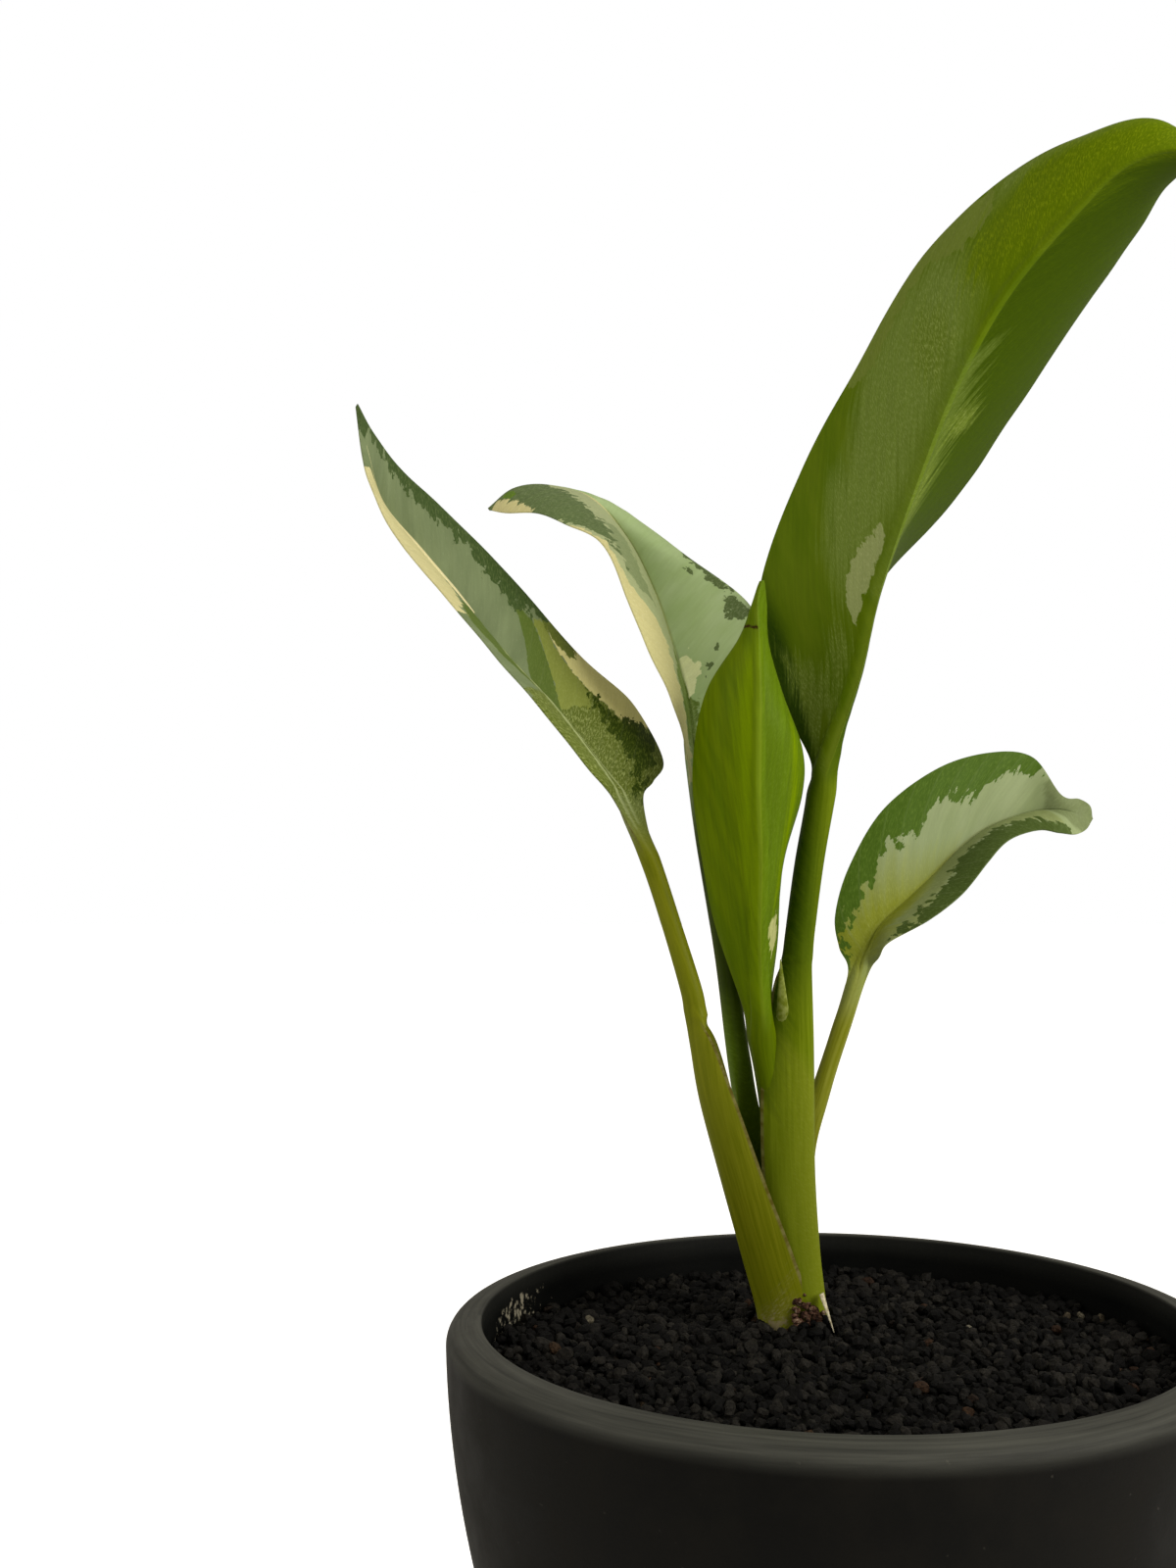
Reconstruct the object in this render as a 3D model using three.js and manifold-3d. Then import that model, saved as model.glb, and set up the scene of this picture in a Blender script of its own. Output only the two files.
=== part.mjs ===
// Potted suvarnabhumi aglaonema: a black bowl-tapered pot, its bed of black granules, and a young
// plant whose five leaves rise from one short stem. Millimetres, +Z up. The origin is the centre of
// the pot's flat base, and the front is towards -Y.

import * as THREE from "three";
import { mergeVertices } from "three/addons/utils/BufferGeometryUtils.js";
import Module from "manifold-3d";

const wasm = await Module();
wasm.setup();

// Clear distance between neighbouring pieces, and the distance below which two points are one
const GAP = 0.3;
const SAME_POINT = 1e-4;

// Pot: the side narrows with the square of the depth, from the rim to the foot
const POT_HEIGHT = 120;
const RIM_RADIUS = 75.6;
const FOOT_RADIUS = 39;
const FOOT_ROUNDING = 6;
const FOOT_TURNS = [-90, -70, -50, -30];
const MOUTH_RADIUS = 68.6;
const INNER_FOOT_RADIUS = 34;
const FLOOR_THICKNESS = 6;
const LIP_WIDTH = 2.9;
const LIP_FALL = 0.6;
const LIP_ROUNDING = 3.8;
const LIP_STEPS = 4;
const POT_SIDES = 64;
const SIDE_HEIGHTS = [14, 30, 48, 66, 84, 100];
const WALL_HEIGHTS = [90, 60, 30];

// Soil: coarse granules, a little below the rim, drawn as rough relief inside a plain outer ring.
// The numbers of the scatter have no meaning; they only need to be large and uneven.
const SOIL_TOP = POT_HEIGHT - 8;
const ROUGH_SHARE = 0.95;
const SOIL_RINGS = 12;
const SOIL_SIDES = 48;
const SOIL_RELIEF = 1;
const SOIL_SHIFT = 1.8;
const SCATTER = { x: 12.9898, y: 78.233, draw: 37.719, spread: 43758.5453 };

// Stem: a short crown, half buried in a plain hole in the soil. Its outline gives radii and heights.
const CROWN_X = -5;
const CROWN_Y = 22;
const HOLE_RADIUS = 8;
const STEM_SIDES = 24;
const STEM_FOOT = 90;
const STEM_OUTLINE = [
  [0, STEM_FOOT],
  [4.5, 91],
  [6.4, 95],
  [7, 102],
  [7, 109],
  [5.6, 113],
  [5, 115],
  [4, 116.4],
  [0, 117],
];
const LEAF_FOOT = 107;

// Leaves: the thickness of the blade and of a sheath's wall, of the petiole's edges, and the width of
// the tip. A closing sheath fills up from its keel, at the given rate, until the petiole is solid.
// Each leaf is drawn with so many columns across, crowded towards the midrib, and so many rows
// between one station and the next.
const SHEET_THICKNESS = 0.8;
const TIP_HALF_WIDTH = 0.5;
const EDGE_THICKNESS = 0.4;
const HOLLOW_RATE = 1.1;
const KEEL_WALL = 0.3;
const COLUMNS = 8;
const CROWDING = 1.7;
const ROWS_PER_SPAN = 2;

// A leaf runs from its foot to its tip. The stalk's stations give the keel's place, the direction
// its upper side faces (degrees from +X), the stalk's radius, and for the sheath the half-width
// between its margins and how far they reach round the stem. The blade's stations give the midrib
// and both margins, left and right as seen from its upper side, and the midrib's radius. Camber
// arches each half away from a straight line, towards the upper side where it is positive.
const LEAF_LEFT = {
  stalk: [
    { at: [-9.6, 21.2, LEAF_FOOT], face: 15, radius: 2.2, half: 5, reach: 6, camber: -1.2 },
    { at: [-10.6, 20.5, 116], face: 15, radius: 2.4, half: 5.6, reach: 7, camber: -1.4 },
    { at: [-13.6, 19.5, 127], face: 12, radius: 2.4, half: 5.4, reach: 6.6, camber: -1.4 },
    { at: [-18.2, 18, 143.5], face: 8, radius: 2.4, half: 4.8, reach: 5.2, camber: -1.2 },
    { at: [-22.6, 17, 159.5], face: 0, radius: 2.3, half: 4, reach: 4.4, camber: -0.8 },
    { at: [-24.6, 17, 170], face: -8, radius: 2.1, half: 3.1, reach: 2.8, camber: -0.4 },
    { at: [-25.5, 17, 174.5], face: -11, radius: 1.95, half: 2.3, reach: 1.3, camber: -0.2 },
    { at: [-26.1, 17, 177.5], face: -13, radius: 1.9, half: 1.9, reach: 0.2 },
    { at: [-27, 17, 182], face: -15, radius: 1.8, half: 1.8, reach: 0.1 },
    { at: [-30.6, 18, 194], face: -25, radius: 1.6, half: 1.6, reach: 0 },
    { at: [-35, 19, 207.5], face: -30, radius: 1.6, half: 1.7, reach: 0.2 },
  ],
  blade: [
    { mid: [-40.3, 19, 220.4], left: [-42.2, 15.7, 219.5], right: [-36.6, 21, 220.3], rib: 1.6 },
    { mid: [-42.5, 19, 223.8], left: [-44.8, 11.5, 223.3], right: [-34.4, 26, 224.2], rib: 1.5, camber: 0.4 },
    { mid: [-45.5, 19, 227.5], left: [-48.3, 8.5, 227.3], right: [-32.3, 29.5, 229], rib: 1.4, camber: 0.8 },
    { mid: [-54, 20, 238.4], left: [-57.6, 6, 238.9], right: [-38.5, 33, 241], rib: 1.2, camber: 1 },
    { mid: [-63.9, 21.2, 248.7], left: [-66.5, 6, 249], right: [-50, 33, 251.5], rib: 1, camber: 1 },
    { mid: [-74, 22.5, 261.3], left: [-76.4, 8, 261], right: [-64.5, 32, 268], rib: 0.8, camber: 0.8 },
    { mid: [-83, 23.5, 272.1], left: [-85.4, 12, 271.6], right: [-77, 31, 280.6], rib: 0.7, camber: 0.6 },
    { mid: [-91.2, 25, 282.3], left: [-92, 18, 283.3], right: [-86.6, 30, 289.5], rib: 0.5, camber: 0.4 },
    { mid: [-94.5, 27, 293.5], left: [-95.2, 25, 292], right: [-93.2, 29, 297.8], rib: 0.3 },
  ],
  tip: [-97, 29, 304],
};

const LEAF_BACK_LEFT = {
  stalk: [
    { at: [-7.6, 26.2, LEAF_FOOT], face: -60, radius: 2, half: 3, reach: 1.5 },
    { at: [-8.2, 26.6, 118], face: -60, radius: 2, half: 3.4, reach: 2.5, camber: -0.5 },
    { at: [-11.4, 27, 135], face: -60, radius: 2, half: 3.4, reach: 2.5, camber: -0.5 },
    { at: [-14.4, 27, 152], face: -60, radius: 2, half: 2.8, reach: 1.5 },
    { at: [-17, 26, 170], face: -60, radius: 2, half: 2, reach: 0.2 },
    { at: [-19.3, 25, 188], face: -60, radius: 1.9, half: 1.9, reach: 0 },
    { at: [-23, 25, 210], face: -60, radius: 1.8, half: 1.8, reach: 0 },
  ],
  blade: [
    { mid: [-26, 28, 230], left: [-27.5, 25, 231], right: [-24.5, 28, 229.5], rib: 1.7 },
    { mid: [-27.5, 31, 243], left: [-31, 18, 241.5], right: [-15, 30, 237.5], rib: 1.5, camber: 0.6 },
    { mid: [-30.5, 34, 254.5], left: [-35.8, 16, 251.5], right: [-11, 30, 251.5], rib: 1.2, camber: 1 },
    { mid: [-34, 37, 265.5], left: [-39.8, 19, 261.8], right: [-13.5, 32, 262], rib: 1, camber: 1.2 },
    { mid: [-39.5, 40, 277], left: [-45.2, 22, 273.8], right: [-26, 36, 272.5], rib: 0.9, camber: 1.2 },
    { mid: [-47, 42, 286], left: [-52.5, 24, 278], right: [-39.5, 47, 283.5], rib: 0.7, camber: 1 },
    { mid: [-56.5, 42, 289], left: [-58.5, 28, 281], right: [-53.5, 55, 288], rib: 0.5, camber: 0.8 },
    { mid: [-64, 40, 288], left: [-65.3, 33, 281.8], right: [-63.5, 50, 285], rib: 0.3, camber: 0.4 },
  ],
  tip: [-69.5, 39, 283.5],
};

const LEAF_NEW = {
  stalk: [
    { at: [-7.4, 21.5, 118], face: 120, radius: 2, half: 2, reach: 0 },
    { at: [-8.6, 20.5, 140], face: 110, radius: 2.1, half: 2.1, reach: 0 },
    { at: [-10.4, 19, 160], face: 95, radius: 2.3, half: 2.4, reach: 0.3 },
    { at: [-12, 17.5, 171], face: 90, radius: 2.3, half: 3.2, reach: 1.2 },
  ],
  blade: [
    { mid: [-13, 15, 180], left: [-10.4, 18, 179.5], right: [-16.5, 17, 178.5], rib: 2, camber: -0.4 },
    { mid: [-13.5, 12, 194], left: [-9, 18, 193.5], right: [-21.5, 18, 193.5], rib: 1.6, camber: -1 },
    { mid: [-13.5, 9, 208], left: [-8.4, 16, 206.5], right: [-24.5, 17, 207.5], rib: 1.3, camber: -1.6 },
    { mid: [-14, 7, 221.5], left: [-4.5, 15, 221.5], right: [-26.5, 16, 222.5], rib: 1, camber: -1.8 },
    { mid: [-14, 6, 234.5], left: [-4.5, 13, 230.5], right: [-26, 15, 233.5], rib: 0.8, camber: -1.8 },
    { mid: [-14, 6.5, 243], left: [-8.5, 14, 242], right: [-23.5, 14, 243.5], rib: 0.7, camber: -1.4 },
    { mid: [-14, 8, 253], left: [-11.5, 12, 251.5], right: [-17.5, 12, 253], rib: 0.5, camber: -0.6 },
    { mid: [-14, 9, 260], left: [-12, 11, 260], right: [-15, 11, 259.5], rib: 0.3 },
  ],
  tip: [-13, 10, 264.5],
};

const LEAF_LARGE = {
  stalk: [
    { at: [-1.6, 20.4, LEAF_FOOT], face: 160, radius: 2.8, half: 4, reach: 3.5, camber: -1 },
    { at: [-2.3, 20, 116], face: 158, radius: 3, half: 4.6, reach: 4.6, camber: -1.2 },
    { at: [-3.6, 19.5, 127], face: 156, radius: 3, half: 5, reach: 5.4, camber: -1.4 },
    { at: [-4.7, 19, 143.5], face: 153, radius: 3, half: 5.3, reach: 5.8, camber: -1.4 },
    { at: [-4.9, 18.5, 159.5], face: 150, radius: 3, half: 5.3, reach: 5.8, camber: -1.4 },
    { at: [-4.9, 18.5, 171], face: 148, radius: 2.9, half: 4.7, reach: 4.9, camber: -1.2 },
    { at: [-5, 18.5, 181], face: 144, radius: 2.8, half: 3.9, reach: 3.6, camber: -0.7 },
    { at: [-5, 18.3, 186.2], face: 141, radius: 2.7, half: 3.2, reach: 2 },
    { at: [-4.9, 18.2, 188.8], face: 139, radius: 2.7, half: 2.7, reach: 0.2 },
    { at: [-4.4, 18, 194], face: 132, radius: 2.6, half: 2.6, reach: 0 },
    { at: [-2.7, 17, 207.5], face: 115, radius: 2.6, half: 2.6, reach: 0 },
    { at: [-0.4, 16, 221], face: 95, radius: 2.6, half: 2.7, reach: 0.3 },
  ],
  blade: [
    { mid: [0.9, 15, 228.5], left: [3.4, 17.5, 229], right: [-2.5, 17.5, 229], rib: 2.5 },
    { mid: [6.4, 12, 245.5], left: [8, 27.5, 246], right: [-10, 28, 246.5], rib: 2.2, camber: 0.6 },
    { mid: [10.3, 9, 263], left: [13, 30, 265], right: [-11.5, 29, 265.5], rib: 1.8, camber: 0.8 },
    { mid: [17, 4, 283.5], left: [29.5, 27, 284], right: [-3.5, 24, 289], rib: 1.4, camber: -0.4 },
    { mid: [23.5, -3, 301.5], left: [40.8, 18, 302], right: [6.5, 15, 308], rib: 1.1, camber: -1.8 },
    { mid: [31.5, -10, 317], left: [52.8, 8, 321], right: [17.5, 4, 327], rib: 0.8, camber: -2.8 },
    { mid: [42, -17, 329.5], left: [59.4, -2, 331.5], right: [30.5, -8, 338.7], rib: 0.6, camber: -2.2 },
    { mid: [51.5, -22, 338], left: [62.5, -12, 337.5], right: [43.8, -16, 344.6], rib: 0.5, camber: -1.6 },
    { mid: [62.5, -24, 339.5], left: [67, -19, 338.5], right: [58.5, -21, 346], rib: 0.4, camber: -0.6 },
  ],
  tip: [73.5, -22, 331],
};

const LEAF_RIGHT = {
  stalk: [
    { at: [-3.4, 26.6, LEAF_FOOT], face: -105, radius: 1.9, half: 2.6, reach: 1 },
    { at: [-3.7, 27.2, 118], face: -105, radius: 1.9, half: 3, reach: 2, camber: -0.5 },
    { at: [-3.4, 28.2, 133], face: -105, radius: 1.9, half: 3, reach: 2, camber: -0.5 },
    { at: [-2.2, 29.5, 147], face: -105, radius: 1.9, half: 2.4, reach: 1 },
    { at: [1.6, 31, 159.5], face: -105, radius: 1.8, half: 1.8, reach: 0 },
    { at: [5.6, 32.5, 171], face: -105, radius: 1.7, half: 1.7, reach: 0 },
  ],
  blade: [
    { mid: [9.8, 34.5, 183], left: [7.6, 34, 183.5], right: [12, 33.8, 183.5], rib: 1.7 },
    { mid: [12.2, 35.6, 188], left: [6, 36.5, 188.8], right: [13.8, 31.5, 187], rib: 1.6, camber: 0.4 },
    { mid: [15.5, 37, 193.5], left: [5.5, 39, 195.5], right: [15.5, 29, 190.5], rib: 1.5, camber: 0.6 },
    { mid: [20.9, 39, 198.4], left: [9, 42, 206], right: [23.8, 28, 195.2], rib: 1.2, camber: 0.8 },
    { mid: [27.4, 42, 203.9], left: [17, 45, 218.5], right: [30.9, 30, 200.1], rib: 1, camber: 1 },
    { mid: [34, 45, 209.8], left: [29.5, 48, 227.5], right: [37.2, 33, 207.2], rib: 0.9, camber: 1 },
    { mid: [41, 47, 214.5], left: [41.5, 50, 231], right: [43, 37, 212], rib: 0.7, camber: 0.8 },
    { mid: [49.5, 48, 217.5], left: [51, 50, 230], right: [50, 40, 214], rib: 0.5, camber: 0.6 },
    { mid: [55.8, 46.5, 218.2], left: [56.4, 46.5, 221.7], right: [54.5, 40.5, 213.4], rib: 0.4, camber: 0.4 },
    { mid: [60.2, 47, 217.4], left: [60.6, 47.3, 220.7], right: [58.8, 44, 212.9], rib: 0.3 },
    { mid: [62.8, 48.4, 216.8], left: [63.2, 48.3, 219.2], right: [61.8, 46.6, 213.9], rib: 0.2 },
  ],
  tip: [63.9, 49.4, 216.3],
};

// Solids from closed geometry, and geometry from solids

function solidOf(geometry) {
  geometry.deleteAttribute("normal");
  geometry.deleteAttribute("uv");
  const merged = mergeVertices(geometry, SAME_POINT);
  return new wasm.Manifold(
    new wasm.Mesh({
      numProp: 3,
      vertProperties: new Float32Array(merged.attributes.position.array),
      triVerts: new Uint32Array(merged.index.array),
    }),
  );
}

function geometryOf(solid) {
  const mesh = solid.getMesh();
  const geometry = new THREE.BufferGeometry();
  geometry.setAttribute("position", new THREE.BufferAttribute(mesh.vertProperties, 3));
  geometry.setIndex(new THREE.BufferAttribute(mesh.triVerts, 1));
  geometry.computeVertexNormals();
  return geometry;
}

// What is left of a solid, in one piece, once its neighbours have taken their room
function cutBy(solid, neighbours) {
  const cut = neighbours.reduce((rest, neighbour) => rest.subtract(neighbour), solid);
  return cut.decompose().sort((a, b) => b.volume() - a.volume())[0];
}

function piece(name, solid, finish) {
  const mesh = new THREE.Mesh(geometryOf(solid), new THREE.MeshStandardMaterial(finish));
  mesh.name = name;
  return mesh;
}

function turned(profile, sides) {
  const points = profile.map(([radius, height]) => new THREE.Vector2(radius, height));
  return new THREE.LatheGeometry(points, sides).rotateX(Math.PI / 2);
}

// Pot and soil

function outerRadius(height) {
  return RIM_RADIUS - (RIM_RADIUS - FOOT_RADIUS) * (1 - height / POT_HEIGHT) ** 2;
}

function innerRadius(height) {
  return MOUTH_RADIUS - (MOUTH_RADIUS - INNER_FOOT_RADIUS) * (1 - height / POT_HEIGHT) ** 2;
}

function potProfile() {
  const profile = [[0, 0]];
  const sideTurn = THREE.MathUtils.degToRad(FOOT_TURNS.at(-1));
  const sideStart = FOOT_ROUNDING * (1 + Math.sin(sideTurn));
  const footCentre = outerRadius(sideStart) - FOOT_ROUNDING * Math.cos(sideTurn);
  for (const turn of FOOT_TURNS) {
    const angle = THREE.MathUtils.degToRad(turn);
    profile.push([
      footCentre + FOOT_ROUNDING * Math.cos(angle),
      FOOT_ROUNDING * (1 + Math.sin(angle)),
    ]);
  }
  const lipFoot = POT_HEIGHT - LIP_FALL - LIP_ROUNDING;
  for (const height of [...SIDE_HEIGHTS, lipFoot]) {
    profile.push([outerRadius(height), height]);
  }
  const lipCentre = MOUTH_RADIUS + LIP_WIDTH;
  const lipReach = outerRadius(lipFoot) - lipCentre;
  for (let step = 1; step <= LIP_STEPS; step += 1) {
    const angle = (step / LIP_STEPS) * (Math.PI / 2);
    profile.push([lipCentre + lipReach * Math.cos(angle), lipFoot + LIP_ROUNDING * Math.sin(angle)]);
  }
  for (const height of [POT_HEIGHT, SOIL_TOP, ...WALL_HEIGHTS, FLOOR_THICKNESS]) {
    profile.push([innerRadius(height), height]);
  }
  profile.push([0, FLOOR_THICKNESS]);
  return profile;
}

// A fixed number between -1 and 1 for each place, so that the relief is the same every time
function scatter(x, y, draw) {
  const turn = SCATTER.x * x + SCATTER.y * y + SCATTER.draw * draw;
  const mixed = Math.sin(turn) * SCATTER.spread;
  return 2 * (mixed - Math.floor(mixed)) - 1;
}

function soilGeometry() {
  const foot = FLOOR_THICKNESS + GAP;
  const profile = [[0, foot]];
  for (const height of [foot, ...WALL_HEIGHTS.toReversed()]) {
    profile.push([innerRadius(height) - GAP, height]);
  }
  for (let ring = SOIL_RINGS; ring >= 0; ring -= 1) {
    profile.push([((innerRadius(SOIL_TOP) - GAP) * ring) / SOIL_RINGS, SOIL_TOP]);
  }
  const geometry = turned(profile, SOIL_SIDES);
  const position = geometry.attributes.position;
  const wall = innerRadius(SOIL_TOP);
  for (let i = 0; i < position.count; i += 1) {
    const [x, y, z] = [position.getX(i), position.getY(i), position.getZ(i)];
    if (z > SOIL_TOP - GAP) {
      const part = Math.hypot(x, y) / wall;
      const shift = part < ROUGH_SHARE ? SOIL_SHIFT * part : 0;
      position.setX(i, x + shift * scatter(x, y, 1));
      position.setY(i, y + shift * scatter(x, y, 2));
      position.setZ(i, z + SOIL_RELIEF * Math.sqrt(part) * scatter(x, y, 3));
    }
  }
  return geometry;
}

// Stem

function stemGeometry() {
  return turned(STEM_OUTLINE, STEM_SIDES).translate(CROWN_X, CROWN_Y, 0);
}

function holeGeometry() {
  const foot = STEM_FOOT - GAP;
  const depth = POT_HEIGHT - foot;
  const hole = new THREE.CylinderGeometry(HOLE_RADIUS, HOLE_RADIUS, depth, STEM_SIDES);
  return hole.rotateX(Math.PI / 2).translate(CROWN_X, CROWN_Y, (POT_HEIGHT + foot) / 2);
}

// Leaves

function stalkStation({ at, face, radius, half, reach, camber = 0 }) {
  const angle = THREE.MathUtils.degToRad(face);
  const mid = new THREE.Vector3(...at);
  const forward = new THREE.Vector3(Math.cos(angle), Math.sin(angle), 0).multiplyScalar(reach);
  const sideways = new THREE.Vector3(-Math.sin(angle), Math.cos(angle), 0).multiplyScalar(half);
  return {
    mid,
    left: mid.clone().add(forward).sub(sideways),
    right: mid.clone().add(forward).add(sideways),
    form: new THREE.Vector3(radius, camber, 0),
  };
}

function bladeStation({ mid, left, right, rib, camber = 0 }) {
  return {
    mid: new THREE.Vector3(...mid),
    left: new THREE.Vector3(...left),
    right: new THREE.Vector3(...right),
    form: new THREE.Vector3(rib, camber, 0),
  };
}

function tipStation(tip, last) {
  const mid = new THREE.Vector3(...tip);
  const sideways = last.right.clone().sub(last.left).setLength(TIP_HALF_WIDTH);
  return {
    mid,
    left: mid.clone().sub(sideways),
    right: mid.clone().add(sideways),
    form: new THREE.Vector3(0, 0, 0),
  };
}

// A box one unit deep is bent into the leaf: its width runs between the margins, its height from
// foot to tip, and its two large faces become the upper and the lower side.
function leafSolid({ stalk, blade, tip }, grow = 0) {
  const stations = [...stalk.map(stalkStation), ...blade.map(bladeStation)];
  stations.push(tipStation(tip, stations.at(-1)));
  const rail = (key) => {
    const points = stations.map((station) => station[key]);
    return new THREE.CatmullRomCurve3(points, false, "catmullrom", 0.5);
  };
  const midrib = rail("mid");
  const margins = { left: rail("left"), right: rail("right") };
  const forms = rail("form");
  const spans = stations.length - 1;
  const rows = spans * ROWS_PER_SPAN;
  const box = new THREE.BoxGeometry(2, 1, 1, COLUMNS, rows, 1);
  const sheet = SHEET_THICKNESS / 2 + grow;

  const place = (across, height, side) => {
    const centre = midrib.getPoint(height);
    const along = midrib.getTangent(height);
    const half = (key) => margins[key].getPoint(height).sub(centre);
    const upper = {
      left: along.clone().cross(half("left")).normalize(),
      right: half("right").cross(along).normalize(),
    };
    const key = across < 0 ? "left" : "right";
    const normal = across === 0 ? upper.left.clone().add(upper.right).normalize() : upper[key];
    const outward = half(key);
    const width = outward.length();
    const [radius, camber] = forms.getPoint(height).toArray();
    const roundness = Math.min(radius / width, 1);
    const part = Math.abs(across) ** (CROWDING - roundness);
    const distance = part * width;
    const round = Math.sqrt(Math.max(0, radius ** 2 - distance ** 2));
    const bulge = side > 0 ? round * roundness : -round;
    const lift = camber * 4 * part * (1 - part) + bulge + Math.sign(side) * sheet;
    const end = height === 0 ? -grow : height === 1 ? grow : 0;
    const spot = centre
      .clone()
      .addScaledVector(outward, part * (1 + grow / width))
      .addScaledVector(normal, lift);

    // The petiole is round and the sheath a U: a quarter of an oval on each side, inside and out.
    const middle = half("left").add(half("right")).multiplyScalar(0.5);
    const sideways = outward.sub(middle);
    const angle = (Math.abs(across) * Math.PI) / 2;
    const solid = radius + SHEET_THICKNESS / 2;
    const wall = Math.min(solid, HOLLOW_RATE * solid * roundness ** 2 + KEEL_WALL);
    // Where it is hollow its inner face stands in by the wall's thickness, and grows inwards.
    const hollow = 1 - roundness ** 2;
    const inside = side > 0;
    const keel = inside ? wall + grow : -solid - grow;
    const edge = inside ? EDGE_THICKNESS / 2 + grow : grow * (2 * hollow - 1) - EDGE_THICKNESS / 2;
    const wider = inside ? grow * (1 - 2 * hollow) - SHEET_THICKNESS * hollow : grow;
    const up = upper.left.clone().add(upper.right).normalize();
    const tube = centre
      .clone()
      .addScaledVector(middle, 1 - Math.cos(angle))
      .addScaledVector(up, keel * Math.cos(angle) + edge * Math.sin(angle))
      .addScaledVector(sideways, Math.sin(angle) * (1 + wider / sideways.length()));
    const bladeShare = THREE.MathUtils.smoothstep(
      height * spans,
      stalk.length - 1,
      stalk.length + 0.5,
    );
    return tube.lerp(spot, bladeShare).addScaledVector(along, end);
  };

  const position = box.attributes.position;
  for (let i = 0; i < position.count; i += 1) {
    const spot = place(position.getX(i), position.getY(i) + 0.5, position.getZ(i));
    position.setXYZ(i, spot.x, spot.y, spot.z);
  }
  splitLowerFaceLikeUpper(box);
  return solidOf(box);
}

// A thin bent sheet stays whole only if both faces are split along the same diagonals.
function splitLowerFaceLikeUpper(box) {
  const lower = box.groups[5];
  const index = box.index;
  for (let i = lower.start; i < lower.start + lower.count; i += 6) {
    const [a, b, c, d] = [index.getX(i), index.getX(i + 1), index.getX(i + 4), index.getX(i + 2)];
    [a, b, c, a, c, d].forEach((vertex, step) => index.setX(i + step, vertex));
  }
}

// The parts take their room in this order: the outer sheath first, then what grows inside it and
// behind it, then the stem between them, and the soil round the stem.

const left = leafSolid(LEAF_LEFT);
const leftRoom = leafSolid(LEAF_LEFT, GAP);
const large = cutBy(leafSolid(LEAF_LARGE), [leftRoom]);
const largeRoom = leafSolid(LEAF_LARGE, GAP);
const young = cutBy(leafSolid(LEAF_NEW), [leftRoom, largeRoom]);
const youngRoom = leafSolid(LEAF_NEW, GAP);
const backLeft = cutBy(leafSolid(LEAF_BACK_LEFT), [leftRoom, largeRoom, youngRoom]);
const backLeftRoom = leafSolid(LEAF_BACK_LEFT, GAP);
const right = cutBy(leafSolid(LEAF_RIGHT), [leftRoom, largeRoom, youngRoom, backLeftRoom]);
const rightRoom = leafSolid(LEAF_RIGHT, GAP);
const leafRooms = [leftRoom, largeRoom, youngRoom, backLeftRoom, rightRoom];
const stem = cutBy(solidOf(stemGeometry()), leafRooms);
const soil = cutBy(solidOf(soilGeometry()), [solidOf(holeGeometry())]);
const pot = solidOf(turned(potProfile(), POT_SIDES));

const plant = new THREE.Group();
plant.add(piece("pot", pot, { color: 0x1c1b19, roughness: 0.7, metalness: 0 }));
plant.add(piece("soil", soil, { color: 0x1d1c1b, roughness: 0.95, metalness: 0 }));
plant.add(piece("stem", stem, { color: 0x7d6a45, roughness: 0.9, metalness: 0 }));
plant.add(piece("leaf_left", left, { color: 0x7f9468, roughness: 0.5, metalness: 0 }));
plant.add(piece("leaf_back_left", backLeft, { color: 0x9cb088, roughness: 0.5, metalness: 0 }));
plant.add(piece("leaf_new", young, { color: 0x6f9023, roughness: 0.45, metalness: 0 }));
plant.add(piece("leaf_large", large, { color: 0x4c6d15, roughness: 0.45, metalness: 0 }));
plant.add(piece("leaf_right", right, { color: 0x8fa36a, roughness: 0.5, metalness: 0 }));

export default plant;
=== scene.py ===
import math
import random

import bmesh
import bpy
import numpy as np
from mathutils import Matrix, Vector, noise


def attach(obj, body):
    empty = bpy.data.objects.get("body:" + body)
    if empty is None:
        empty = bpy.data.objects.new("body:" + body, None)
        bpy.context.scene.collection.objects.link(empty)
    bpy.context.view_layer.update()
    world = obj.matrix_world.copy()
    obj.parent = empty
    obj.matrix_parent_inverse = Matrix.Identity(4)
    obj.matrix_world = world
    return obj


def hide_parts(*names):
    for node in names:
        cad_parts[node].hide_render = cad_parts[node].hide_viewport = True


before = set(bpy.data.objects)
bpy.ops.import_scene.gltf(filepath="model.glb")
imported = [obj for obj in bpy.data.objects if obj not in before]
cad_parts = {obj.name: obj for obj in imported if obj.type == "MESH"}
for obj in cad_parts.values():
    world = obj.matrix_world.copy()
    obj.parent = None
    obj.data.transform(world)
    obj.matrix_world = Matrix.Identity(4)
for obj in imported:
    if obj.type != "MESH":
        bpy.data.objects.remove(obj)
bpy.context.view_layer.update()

# A young suvarnabhumi aglaonema in a black pot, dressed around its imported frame. The file works in
# millimetres and turns them to metres as each piece is finished. +Z is up and the front is -Y.
MM = 0.001

# Camera: level with the leaves, 36 cm in front of the pot's axis, and so near that the pot's far rim is
# drawn well above its near one.
camera = bpy.data.objects.new("Camera", bpy.data.cameras.new("Camera"))
camera.data.lens = 42.75
camera.data.sensor_width = 36
camera.data.clip_start = 0.01
camera.location = (-48 * MM, -364.5 * MM, 219.7 * MM)
camera.rotation_euler = (math.radians(90.6), 0, 0)
bpy.context.collection.objects.link(camera)
bpy.context.scene.camera = camera

# Studio: even white light from all round, with one broad soft lamp high on the right and a weaker
# one on the left. The air behind the plant is plain white.
bpy.context.scene.view_settings.view_transform = "Standard"


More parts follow.
